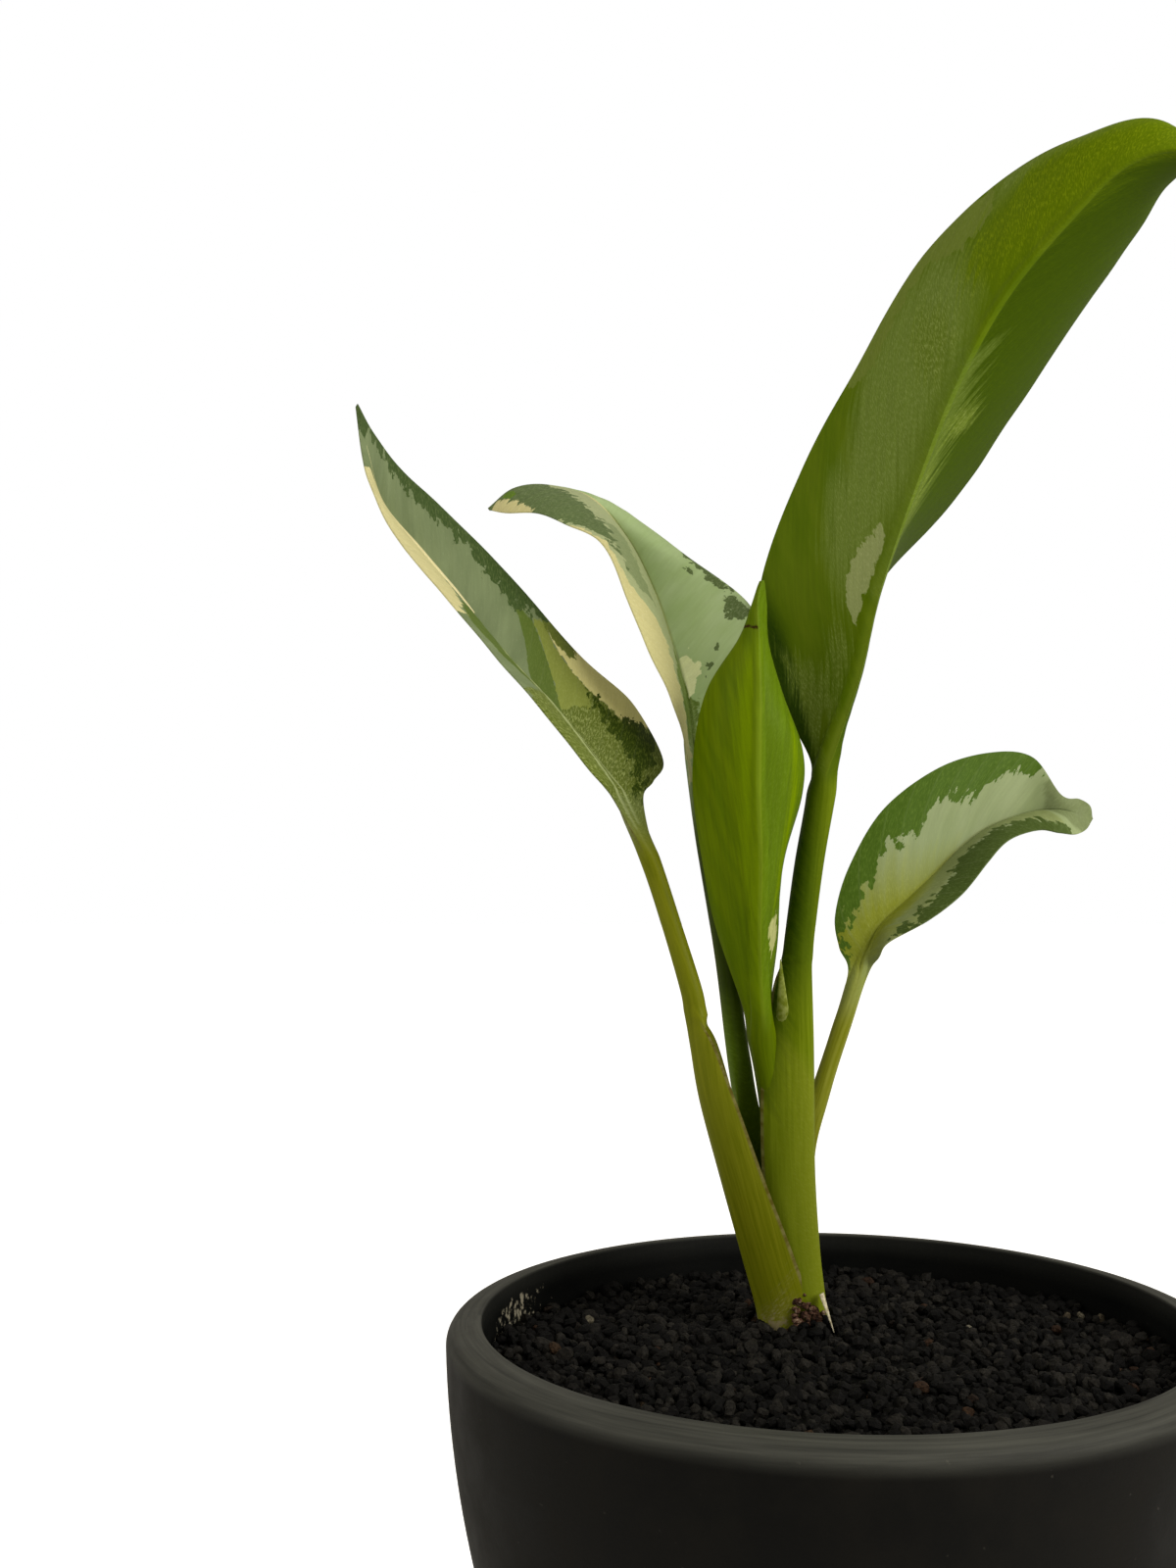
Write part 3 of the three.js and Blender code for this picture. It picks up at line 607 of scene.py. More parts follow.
def foliage(name, patches, blades, petioles, fleck, vein, rib, other, other_share=0.3, stain="#7d6f55",
            gloss=0.45, wax=0.08, rib_width=1.1, rib_end=0.75, vein_share=0.05, fleck_share=0.4, grain=1.0,
            dimmed=0.04):
    """Living leaf: a waxed skin over soft green tissue, so its gloss is low and even. The tones are two
    greens each for the blade and the petiole, and one each for the blade's flecks, veins, rib and other
    side and the petiole's stains. Each patch has a plain and a dappled colour, how far its edge frays and
    how wide it fades, in mm, and its outlines, and a later patch lies over an earlier one. The grain is
    how far the tissue's lines run along for each millimetre out, and wax how strongly the skin mirrors."""
    material, tree = bare_material(name)
    veins = add(tree, "UVMap", uv_map="Veins")
    length = add(tree, "UVMap", uv_map="Length")
    spread = add(tree, "SeparateXYZ", {0: add(tree, "UVMap", uv_map="Spread")}, out=None).outputs
    is_blade = add(tree, "Attribute", attribute_name="blade", out="Fac")
    place = add(tree, "TexCoord", out="Object")
    # Tissue cells run along the veins, so each noise is drawn out along them. The maps are in
    # centimetres: fine marks are 0.3 mm across and 1.7 mm along, clouds 6 by 31 mm, the fringes' blobs
    # 2 by 4.5 mm, the strokes 0.7 by 20 mm and the petiole's fibres 0.4 by 18 mm.
    stretched = add(tree, "VectorMath", {0: veins, 1: (10, 2, 1)}, operation="MULTIPLY")
    blobs = add(tree, "VectorMath", {0: veins, 1: (4.8, 2.2, 1)}, operation="MULTIPLY")
    fringe = add(tree, "TexNoise", {"Vector": blobs, "Scale": 1.0, "Detail": 5, "Roughness": 0.6})
    run = add(tree, "SeparateXYZ", {0: length}, out=1)
    from_rib = add(tree, "Math", {0: add(tree, "SeparateXYZ", {0: length})}, operation="ABSOLUTE")
    root = add(tree, "Math", {0: from_rib, 1: -grain, 2: run}, operation="MULTIPLY_ADD")
    drawn_out = add(tree, "CombineXYZ", {
        0: add(tree, "Math", {0: root, 1: 14 / math.hypot(1, grain)}, operation="MULTIPLY"),
        1: add(tree, "Math", {0: add(tree, "Math", {0: run, 1: from_rib}), 1: 0.5}, operation="MULTIPLY")})
    strokes = add(tree, "TexNoise", {"Vector": drawn_out, "Scale": 1.0, "Detail": 4, "Roughness": 0.6})
    fine = add(tree, "TexNoise", {"Vector": stretched, "Scale": 3.0, "Detail": 4, "Roughness": 0.7})
    cloudy = add(tree, "TexNoise", {"Vector": stretched, "Scale": 0.16, "Detail": 3, "Roughness": 0.5})
    lengthwise = add(tree, "VectorMath", {0: length, 1: (14, 0.35, 1)}, operation="MULTIPLY")
    fibres = add(tree, "TexNoise", {"Vector": lengthwise, "Scale": 1.6, "Detail": 4, "Roughness": 0.6})
    flecks = add(tree, "MapRange", {0: fine, 1: 0.58, 2: 0.72, 4: fleck_share})
    tissue = mottled(tree, cloudy, 0.35, 0.65, *blades)
    tissue = add(tree, "Mix", {0: flecks, 6: tissue, 7: linear(fleck)}, out=2, data_type="RGBA")
    coats = [(is_blade, tissue)]
    # The midrib fades towards the tip.
    on_rib = add(tree, "MapRange", {0: from_rib, 1: rib_width / 10, 2: 0.35 * rib_width / 10},
                 interpolation_type="SMOOTHSTEP")
    rib_left = add(tree, "MapRange", {0: spread[1], 1: rib_end, 2: rib_end - 0.3})
    on_rib = add(tree, "Math", {0: on_rib, 1: rib_left}, operation="MULTIPLY")
    on_rib = add(tree, "Math", {0: on_rib, 1: is_blade}, operation="MULTIPLY")
    coats.append((on_rib, linear(rib)))
    # A patch frays along the veins, but ends cleanly where it meets the midrib.
    free = add(tree, "MapRange", {0: from_rib, 1: 0.05, 2: 0.35})
    for kind, patch in patches.items():
        plain, dappled, fray, fade = patch[:4]
        depth = add(tree, "Attribute", attribute_name=kind, out="Fac")
        jagged = strokes if fade > 0.5 else fringe
        swing = add(tree, "MapRange", {0: jagged, 3: -fray, 4: fray}, clamp=False)
        depth = add(tree, "Math", {0: free, 1: swing, 2: depth}, operation="MULTIPLY_ADD")
        here = add(tree, "MapRange", {0: depth, 1: -fade, 2: fade})
        if not kind.startswith("stalk"):
            here = add(tree, "Math", {0: here, 1: is_blade}, operation="MULTIPLY")
        coats.append((here, mottled(tree, fine, 0.48, 0.66, plain, dappled)))
    # Side veins leave the midrib at an even pitch and show as thin lines.
    across_veins = add(tree, "SeparateXYZ", {0: veins})
    vein_turn = add(tree, "Math", {0: across_veins, 1: math.tau / (VEIN_PITCH / 10)}, operation="MULTIPLY")
    vein_wave = add(tree, "Math", {0: vein_turn}, operation="COSINE")
    vein_line = add(tree, "MapRange", {0: vein_wave, 1: 0.92, 2: 1.0, 4: vein_share})
    vein_line = add(tree, "Math", {0: vein_line, 1: is_blade}, operation="MULTIPLY")
    coats.append((vein_line, linear(vein)))
    other_side = add(tree, "Attribute", attribute_name="underside", out="Fac")
    other_side = add(tree, "Math", {0: other_side, 1: other_share}, operation="MULTIPLY")
    other_side = add(tree, "Math", {0: other_side, 1: is_blade}, operation="MULTIPLY")
    coats.append((other_side, linear(other)))
    # The sheaths' margins are dry and brownish, and near the ground the sheaths are stained brown.
    to_margin = add(tree, "Math", {0: spread[0]}, operation="ABSOLUTE")
    dry = add(tree, "MapRange", {0: to_margin, 1: 0.955, 2: 0.99, 4: 0.75},
              interpolation_type="SMOOTHSTEP")
    on_sheath = add(tree, "Attribute", attribute_name="sheath", out="Fac")
    dry = add(tree, "Math", {0: dry, 1: on_sheath}, operation="MULTIPLY")
    coats.append((dry, mottled(tree, fringe, 0.4, 0.6, "#54461f", "#7c764a")))
    blotches = add(tree, "TexNoise", {"Vector": place, "Scale": 1 / (STAIN_WIDTH * MM), "Detail": 5,
                                      "Roughness": 0.7})
    height = add(tree, "SeparateXYZ", {0: place}, out=2)
    low = add(tree, "MapRange", {0: height, 1: STAIN_TOP * MM, 2: STAIN_FOOT * MM, 4: 0.42})
    stained = add(tree, "Math", {0: low, 1: blotches}, operation="ADD")
    stained = add(tree, "MapRange", {0: stained, 1: 0.76, 2: 0.86, 4: 0.8})
    coats.append((stained, linear(stain)))
    colour = mottled(tree, fibres, 0.35, 0.68, *petioles)
    for amount, coat in coats:
        colour = add(tree, "Mix", {0: amount, 6: colour, 7: coat}, out=2, data_type="RGBA")
    # Faint strokes along the veins, a little darker than the tissue between them.
    dim = add(tree, "MapRange", {0: strokes, 1: 0.35, 2: 0.65, 3: 1 - dimmed, 4: 1 + dimmed})
    dim = add(tree, "Mix", {0: is_blade, 2: 1.0, 3: dim})
    colour = add(tree, "VectorMath", {0: colour, "Scale": dim}, operation="SCALE")
    rough = add(tree, "MapRange", {0: fine, 1: 0.3, 2: 0.7, 3: gloss - 0.05, 4: gloss + 0.08})
    blade_relief = add(tree, "Math", {0: vein_wave, 1: 0.25, 2: fine}, operation="MULTIPLY_ADD")
    relief = add(tree, "Mix", {0: is_blade, 2: fibres, 3: blade_relief})
    bump = add(tree, "Bump", {"Height": relief, "Distance": 0.07 * MM, "Strength": 0.5})
    skin = add(tree, "BsdfPrincipled", {"Base Color": colour, "Roughness": rough, "Normal": bump,
                                        "Specular IOR Level": wax})
    add(tree, "OutputMaterial", {"Surface": skin}, out=None)
    return material


# The leaf that leans left: silver-green with a ragged dark border, cream along the upper part of its
# near margin beside a pale midrib, and sectors of tan and light green over a dark, speckled foot.
left_stations = [
    stalk(-9.6, 21.2, 107, 15, 2.2, 5, 6, -1.2),
    stalk(-10.6, 20.5, 116, 15, 2.4, 5.6, 7, -1.4),
    stalk(-13.6, 19.5, 127, 12, 2.4, 5.4, 6.6, -1.4),
    stalk(-18.2, 18, 143.5, 8, 2.4, 4.8, 5.2, -1.2),
    stalk(-22.6, 17, 159.5, 0, 2.3, 4, 4.4, -0.8),
    stalk(-24.6, 17, 170, -8, 2.1, 3.1, 2.8, -0.4),
    stalk(-25.5, 17, 174.5, -11, 1.95, 2.3, 1.3, -0.2),
    stalk(-26.1, 17, 177.5, -13, 1.9, 1.9, 0.2),
    stalk(-27, 17, 182, -15, 1.8, 1.8, 0.1),
    stalk(-30.6, 18, 194, -25, 1.6, 1.6),
    stalk(-35, 19, 207.5, -30, 1.6, 1.7, 0.2),
    blade((-40.3, 19, 220.4), (-42.2, 15.7, 219.5), (-36.6, 21, 220.3), 1.6),
    blade((-42.5, 19, 223.8), (-44.8, 11.5, 223.3), (-34.4, 26, 224.2), 1.5, 0.4),
    blade((-45.5, 19, 227.5), (-48.3, 8.5, 227.3), (-32.3, 29.5, 229), 1.4, 0.8),
    blade((-54, 20, 238.4), (-57.6, 6, 238.9), (-38.5, 33, 241), 1.2, 1),
    blade((-63.9, 21.2, 248.7), (-66.5, 6, 249), (-50, 33, 251.5), 1, 1),
    blade((-74, 22.5, 261.3), (-76.4, 8, 261), (-64.5, 32, 268), 0.8, 0.8),
    blade((-83, 23.5, 272.1), (-85.4, 12, 271.6), (-77, 31, 280.6), 0.7, 0.6),
    blade((-91.2, 25, 282.3), (-92, 18, 283.3), (-86.6, 30, 289.5), 0.5, 0.4),
    blade((-94.5, 27, 293.5), (-95.2, 25, 292), (-93.2, 29, 297.8), 0.3),
]
left_patches = {
    "lower": ("#55621f", "#929d5c", 3.0, 0.3, [
        [(100, -1, 1), (118, -1, 1), (130, -1, 1), (134, -0.9, 0.9), (137, -0.6, 0.6), (140, -0.3, 0.4),
         (142, -0.1, 0.1)]]),
    "wedge": ("#526528", "#5e6f33", 2.0, 0.3, [
        [(140.6, 0, 0.02), (143, 0, 0.18), (146, 0, 0.38), (149, 0, 0.56), (151, 0.12, 0.68),
         (154, 0.4, 0.7), (157, 0.62, 0.72)],
        [(136, -0.42, -0.1), (145, -0.78, -0.12), (152, -0.86, -0.2), (158, -0.76, -0.3),
         (164, -0.5, -0.3)]]),
    "light": ("#7a843c", "#858f48", 2.0, 0.15, [
        [(134, 0.36, 0.5), (137, 0.25, 0.56), (139.5, 0.08, 0.6), (141, 0.03, 0.62), (143, 0.17, 0.66),
         (146, 0.37, 0.74), (149, 0.56, 0.9), (151.4, 0.7, 0.78)]]),
    # The tan sector is real, but it is painted lighter than its own tone: painted light where its surface
    # turns away from the lamps.
    "tan": ("#d0ca8a", "#d8d298", 2.0, 0.15, [
        [(116.6, 0.96, 1), (119.6, 0.9, 1), (122, 0.75, 1), (124.5, 0.65, 1), (131.5, 0.55, 1),
         (135.7, 0.54, 1), (139.2, 0.6, 1), (142, 0.66, 1), (145.5, 0.72, 1), (148.8, 0.86, 1)]]),
    "olive": ("#5d6a28", "#757e38", 3.0, 0.15, [
        [(139.5, 0.84, 1), (141, 0.78, 1), (145, 0.75, 1), (148, 0.8, 1), (150.8, 0.92, 1)]]),
    "dark": ("#394c24", "#55653a", 6.0, 0.1, [
        [(148.5, 0.95, 1), (150.5, 0.86, 1), (152.5, 0.8, 1), (156, 0.7, 1), (157.4, 0.56, 1),
         (160, 0.6, 1), (162.3, 0.66, 1), (165, 0.68, 1), (166.3, 0.57, 1), (168, 0.62, 1),
         (170, 0.76, 1), (172.5, 0.74, 1), (173.8, 0.62, 1), (175, 0.72, 1), (177, 0.66, 1),
         (188, 0.68, 1), (201, 0.74, 1), (212, 0.6, 1), (216, -1, 1), (240, -1, 1)]]),
    "lobe": ("#2c3c05", "#5b6924", 6.0, 0.1, [
        [(114.3, 0.78, 1), (116, 0.6, 1), (117.5, 0.47, 0.96), (120, 0.42, 0.88), (123, 0.42, 0.72),
         (126, 0.4, 0.62), (130, 0.42, 0.55), (134.5, 0.46, 0.53)]]),
    "cream": ("#c5bf8c", "#cec99a", 4.0, 0.12, [
        [(154, -1, -0.9), (157, -1, -0.8), (160, -1, -0.68), (163, -1, -0.55), (167, -1, -0.42),
         (172, -1, -0.3), (176, -1, -0.15), (180, -1, 0.01), (201, -1, 0.01), (206, -1, -0.4)]]),
    "streaks": ("#98a36f", "#a4ae7e", 1.2, 0.2, [
        [(110, -0.52, -0.4), (130, -0.5, -0.36), (152, -0.44, -0.34)],
        [(112, -0.16, -0.02), (140, -0.14, -0.01), (165, -0.08, -0.01)]]),
    "stalk_scuffs": ("#6c6d1e", "#96945c", 7.0, 3.0, [
        [(34, 0.5, 0.7), (42, 0.3, 0.85), (54, 0.25, 0.9), (62, 0.4, 0.8)],
        [(3, -0.6, 0.1), (8, -0.5, 0)]]),
    "pale_rib": ("#dcd4a6", "#e4ddb4", 0.3, 0.1, [
        [(168, -0.02, 0.03), (174, -0.04, 0.05), (202, -0.04, 0.05), (212, -0.02, 0.03)]]),
}
# On this leaf the rib tone is dark green: painted shade in the sunken groove of the midrib.
silver_left = foliage("Silver leaf with dark border", left_patches, blades=("#677552", "#76845f"),
                      petioles=("#616803", "#747812"), fleck="#929c78", vein="#889170", rib="#56653a",
                      other="#7d8864", other_share=0.35, stain="#857a60")
grow_leaf("leaf_left", left_stations, left_patches, silver_left, end=(-97, 29, 304),
          first_blade=11, slant=0.9, seed=1.0)

# The broad leaf behind it, arched to the left with its tip hooked down: pale silver, with cream on
# its near margin, a few dark streaks on the far one, a pale blotch at its foot and a darker tip.
back_stations = [
    stalk(-7.6, 26.2, 107, -60, 2, 3, 1.5),
    stalk(-8.2, 26.6, 118, -60, 2, 3.4, 2.5, -0.5),
    stalk(-11.4, 27, 135, -60, 2, 3.4, 2.5, -0.5),
    stalk(-14.4, 27, 152, -60, 2, 2.8, 1.5),
    stalk(-17, 26, 170, -60, 2, 2, 0.2),
    stalk(-19.3, 25, 188, -60, 1.9, 1.9),
    stalk(-23, 25, 210, -60, 1.8, 1.8),
    blade((-26, 28, 230), (-27.5, 25, 231), (-24.5, 28, 229.5), 1.7),
    blade((-27.5, 31, 243), (-31, 18, 241.5), (-15, 30, 237.5), 1.5, 0.6),
    blade((-30.5, 34, 254.5), (-35.8, 16, 251.5), (-11, 30, 251.5), 1.2, 1),
    blade((-34, 37, 265.5), (-39.8, 19, 261.8), (-13.5, 32, 262), 1, 1.2),
    blade((-39.5, 40, 277), (-45.2, 22, 273.8), (-26, 36, 272.5), 0.9, 1.2),
    blade((-47, 42, 286), (-52.5, 24, 278), (-39.5, 47, 283.5), 0.7, 1),
    blade((-56.5, 42, 289), (-58.5, 28, 281), (-53.5, 55, 288), 0.5, 0.8),
    blade((-64, 40, 288), (-65.3, 33, 281.8), (-63.5, 50, 285), 0.3, 0.4),
]
back_patches = {
    "near": ("#9ea87c", "#adb68d", 1.0, 0.1, [
        [(122, -1, -0.01), (196, -1, -0.01), (204, -1, -0.01)]]),
    "foot": ("#5f7630", "#87965a", 3.0, 0.2, [
        [(118, -0.5, 0.4), (127, -0.5, 0.34), (131, -0.48, 0.3), (135, -0.44, 0.22), (138, -0.36, 0.04),
         (142, -0.22, 0), (147, -0.1, 0)]]),
    "grey": ("#7f8d61", "#909c74", 4.0, 0.2, [
        [(153, -0.75, -0.35), (158, -0.8, -0.4), (163, -0.78, -0.38), (168, -0.62, -0.34),
         (173, -0.5, -0.34)]]),
    "dark": ("#55673c", "#77865c", 5.0, 0.1, [
        [(156, -0.8, -0.77), (162, -0.87, -0.72), (165, -0.9, -0.68), (168, -0.97, -0.6), (174, -1, -0.5),
         (180, -1, -0.4), (186, -1, -0.28), (190, -1, -0.2), (197, -1, -0.05), (201, -1, 0.3),
         (216, -1, 0.3)],
        [(141.3, 0.84, 0.95), (143.5, 0.66, 0.97), (146, 0.7, 0.9), (148.5, 0.8, 0.93)],
        [(149.5, 0.86, 1), (152, 0.78, 0.98), (155, 0.8, 1), (160, 0.86, 1), (165, 0.95, 1)],
        [(138.9, 0.42, 0.47), (140.4, 0.42, 0.48)],
        [(158.3, 0.64, 0.7), (161, 0.64, 0.7)]]),
    "cream": ("#c6c089", "#d2cd9c", 3.0, 0.12, [
        [(116, -1, -0.8), (121, -1, -0.58), (124, -1, -0.46), (129, -1, -0.5), (134, -1, -0.5),
         (139, -1, -0.42), (144, -1, -0.4), (147, -1, -0.52), (149, -1, -0.7), (151, -1, -0.9),
         (156, -1, -0.93), (168.5, -1, -0.97)],
        [(186, -1, -0.97), (190, -1, -0.84), (196, -1, -0.7), (203, -1, -0.5), (209, -1, -0.2)],
        [(188, 0.6, 1), (194, 0.2, 1), (202, 0.05, 1), (216, 0, 1)],
        [(150, -0.03, 0), (164, -0.05, 0), (184, -0.06, 0), (191, -0.01, 0)]]),
    # The blotch is real, but painted lighter than its own tone: painted light where it lies in shade.
    "blotch": ("#d8dfa9", "#e1e7b8", 3.0, 0.12, [
        [(136.6, 0.03, 0.12), (138, 0.05, 0.2), (140.3, 0.03, 0.33), (142.6, 0.02, 0.23),
         (145.4, 0.03, 0.15)]]),
    # The petiole's foot is painted lighter: painted light where it stands in shade between the sheaths.
    "stalk_painted_light_foot": ("#50680c", "#5e781a", 2.0, 7.0, [
        [(0, -1, 1), (40, -1, 1), (68, -1, 1)]]),
    "green_tip": ("#55721c", "#66822c", 1.0, 0.1, [
        [(201, -0.5, -0.34), (204, -0.4, -0.16), (206.5, -0.3, -0.1)]]),
}
silver_back = foliage("Pale silver leaf with cream margin", back_patches, blades=("#9cb47b", "#aabf8e"),
                      petioles=("#2f3f04", "#3d4c08"), fleck="#bac79c", vein="#a3b27c", rib="#b3b985",
                      other="#96a27e")
grow_leaf("leaf_back_left", back_stations, back_patches, silver_back, end=(-69.5, 39, 283.5),
          first_blade=7, slant=0.9, seed=2.0)

# The newest leaf, still unrolling from the sheath: thin and yellow-green, its underside to the front,
# with a short brown scar across it below the tip.
new_stations = [
    stalk(-7.4, 21.5, 118, 120, 2, 2),
    stalk(-8.6, 20.5, 140, 110, 2.1, 2.1),
    stalk(-10.4, 19, 160, 95, 2.3, 2.4, 0.3),
    stalk(-12, 17.5, 171, 90, 2.3, 3.2, 1.2),
    blade((-13, 15, 180), (-10.4, 18, 179.5), (-16.5, 17, 178.5), 2, -0.4),
    blade((-13.5, 12, 194), (-9, 18, 193.5), (-21.5, 18, 193.5), 1.6, -1),
    blade((-13.5, 9, 208), (-8.4, 16, 206.5), (-24.5, 17, 207.5), 1.3, -1.6),
    blade((-14, 7, 221.5), (-4.5, 15, 221.5), (-26.5, 16, 222.5), 1, -1.8),
    blade((-14, 6, 234.5), (-4.5, 13, 230.5), (-26, 15, 233.5), 0.8, -1.8),
    blade((-14, 6.5, 243), (-8.5, 14, 242), (-23.5, 14, 243.5), 0.7, -1.4),
    blade((-14, 8, 253), (-11.5, 12, 251.5), (-17.5, 12, 253), 0.5, -0.6),
    blade((-14, 9, 260), (-12, 11, 260), (-15, 11, 259.5), 0.3),
]
new_patches = {
    # One half, turned to the light on the right, is painted a little lighter and bluer: a painted sheen.
    "painted_sheen": ("#526b08", "#5e761c", 0.5, 0.1, [
        [(55, -1, -0.03), (150, -1, -0.03)]]),
    "bright": ("#627a00", "#6a8000", 2.0, 1.2, [
        [(60, 0.02, 0.1), (100, 0.02, 0.24), (125, 0.02, 0.3), (137, 0.02, 0.12)],
        [(75, -0.7, -0.5), (85, -0.75, -0.55), (100, -0.72, -0.6), (106, -0.7, -0.66)]]),
    "pale": ("#a5a96c", "#b2b67e", 2.5, 0.12, [
        [(65, -0.72, -0.45), (69, -0.62, -0.32), (73.5, -0.45, -0.28)]]),
    "scar": ("#2c1a04", "#3f2a0a", 0.6, 0.08, [
        [(130.6, 0.9, 1), (131.4, 0.84, 0.98), (134.8, 0.44, 0.56), (138.3, 0.0, 0.08), (138.9, 0, 0.03)]]),
}
fresh_green = foliage("Fresh unrolling leaf", new_patches, blades=("#506600", "#5c7000"),
                      petioles=("#4c5f00", "#5a6c04"), fleck="#687c0c", vein="#64780c", rib="#6f8420",
                      other="#506404", other_share=0.0, gloss=0.42, fleck_share=0.1, rib_width=0.6,
                      rib_end=0.95, vein_share=0.0, grain=7.0, dimmed=0.1, wax=0.03)
grow_leaf("leaf_new", new_stations, new_patches, fresh_green, end=(-13, 10, 264.5),
          first_blade=4, slant=2.2, seed=3.0, wave=0.2)

# The largest leaf, arched over towards the front, so its underside shows: olive green under a silver
# veil, with a few pale blotches, and golden flecks towards the tip.
large_stations = [
    stalk(-1.6, 20.4, 107, 160, 2.8, 4, 3.5, -1),
    stalk(-2.3, 20, 116, 158, 3, 4.6, 4.6, -1.2),
    stalk(-3.6, 19.5, 127, 156, 3, 5, 5.4, -1.4),
    stalk(-4.7, 19, 143.5, 153, 3, 5.3, 5.8, -1.4),
    stalk(-4.9, 18.5, 159.5, 150, 3, 5.3, 5.8, -1.4),
    stalk(-4.9, 18.5, 171, 148, 2.9, 4.7, 4.9, -1.2),
    stalk(-5, 18.5, 181, 144, 2.8, 3.9, 3.6, -0.7),
    stalk(-5, 18.3, 186.2, 141, 2.7, 3.2, 2),
    stalk(-4.9, 18.2, 188.8, 139, 2.7, 2.7, 0.2),
    stalk(-4.4, 18, 194, 132, 2.6, 2.6),
    stalk(-2.7, 17, 207.5, 115, 2.6, 2.6),
    stalk(-0.4, 16, 221, 95, 2.6, 2.7, 0.3),
    blade((0.9, 15, 228.5), (3.4, 17.5, 229), (-2.5, 17.5, 229), 2.5),
    blade((6.4, 12, 245.5), (8, 27.5, 246), (-10, 28, 246.5), 2.2, 0.6),
    blade((10.3, 9, 263), (13, 30, 265), (-11.5, 29, 265.5), 1.8, 0.8),
    blade((17, 4, 283.5), (29.5, 27, 284), (-3.5, 24, 289), 1.4, -0.4),
    blade((23.5, -3, 301.5), (40.8, 18, 302), (6.5, 15, 308), 1.1, -1.8),
    blade((31.5, -10, 317), (52.8, 8, 321), (17.5, 4, 327), 0.8, -2.8),
    blade((42, -17, 329.5), (59.4, -2, 331.5), (30.5, -8, 338.7), 0.6, -2.2),
    blade((51.5, -22, 338), (62.5, -12, 337.5), (43.8, -16, 344.6), 0.5, -1.6),
    blade((62.5, -24, 339.5), (67, -19, 338.5), (58.5, -21, 346), 0.4, -0.6),
]
large_patches = {
    # The left half is painted a darker green: painted shade on the half turned from the light.
    "shade": ("#384c00", "#415600", 0.6, 0.2, [
        [(112, -1, -0.03), (232, -1, -0.03), (262, -1, -0.03)]]),
    # One side of the petiole and sheath is painted darker: painted shade on the side away from the lamp.
    "stalk_painted_shade": ("#273e00", "#364c02", 2.5, 3.0, [
        [(44, 0.96, 1), (62, 0.7, 1), (76, 0.35, 1), (84, 0, 1), (98, -0.1, 1), (110, 0.15, 1),
         (119, 0.4, 1), (124, 0.8, 1)]]),
    "veil": ("#62752a", "#788944", 7.0, 3.5, [
        [(147, 0.3, 0.5), (155, 0.2, 0.7), (162, 0.12, 0.6), (170, 0.1, 0.75), (178, 0.05, 0.9),
         (186, 0.05, 0.92), (194, 0.05, 0.86), (202, 0.05, 0.8), (208, 0.1, 0.6), (214, 0.2, 0.4)],
        [(158, -0.12, -0.03), (168, -0.18, -0.03), (180, -0.18, -0.03), (192, -0.12, -0.03),
         (205, -0.06, -0.03)],
        [(218, 0.7, 1), (226, 0.66, 1), (236, 0.75, 1), (246, 0.85, 1)]]),
    "mossy": ("#65752a", "#6f7d38", 3.5, 0.15, [
        [(168, 0.94, 1), (172, 0.86, 1), (178, 0.8, 1), (186, 0.82, 1), (194, 0.84, 1), (200, 0.8, 1),
         (205, 0.68, 1), (211, 0.58, 1), (216, 0.6, 0.98), (217.5, 0.7, 0.9)]]),
    "pale": ("#87925a", "#98a26c", 3.0, 0.12, [
        [(147.2, 0.12, 0.24), (150, 0.1, 0.3), (155, 0.09, 0.28), (160, 0.07, 0.24), (163, 0.06, 0.18),
         (166.5, 0.07, 0.13)]]),
    "streaks": ("#5b6e1e", "#84944a", 7.0, 1.6, [
        [(131, 0.18, 0.3), (136, 0.14, 0.34), (142, 0.14, 0.26)],
        [(120, 0.5, 0.8), (126, 0.3, 0.55), (130, 0.2, 0.4)],
        [(192, 0.34, 0.55), (196, 0.14, 0.6), (200, 0.12, 0.5), (204, 0.18, 0.35)],
        [(183, -0.36, -0.24), (187, -0.3, -0.16), (191, -0.22, -0.12)],
        [(166, -0.2, -0.06), (174, -0.16, -0.05), (180, -0.12, -0.05)]]),
    # A lighter band low on the sheath: painted light where the lamp on the right falls on it.
    "stalk_painted_light_sheath": ("#70791a", "#7e862c", 2.0, 5.0, [
        [(6, -0.45, 0.4), (26, -0.4, 0.4), (42, -0.3, 0.3), (56, -0.1, 0.2)]]),
    "golden": ("#536800", "#70820a", 9.0, 3.0, [
        [(210, 0.3, 0.42), (220, 0.14, 0.66), (230, 0.05, 0.85), (250, 0.0, 0.9), (270, -0.2, 0.9)]]),
}
olive_green = foliage("Olive leaf underside", large_patches, blades=("#4e6500", "#586c08"),
                      petioles=("#596a02", "#6c7c12"), fleck="#667a18", vein="#5f7416", rib="#7c8c2c",
                      other="#4a6004", other_share=0.0, stain="#8a7a5c", rib_width=1.2, rib_end=0.7,
                      fleck_share=0.15, grain=2.6, dimmed=0.06, wax=0.03)
grow_leaf("leaf_large", large_stations, large_patches, olive_green, end=(73.5, -22, 331),
          first_blade=12, slant=1.2, seed=4.0)

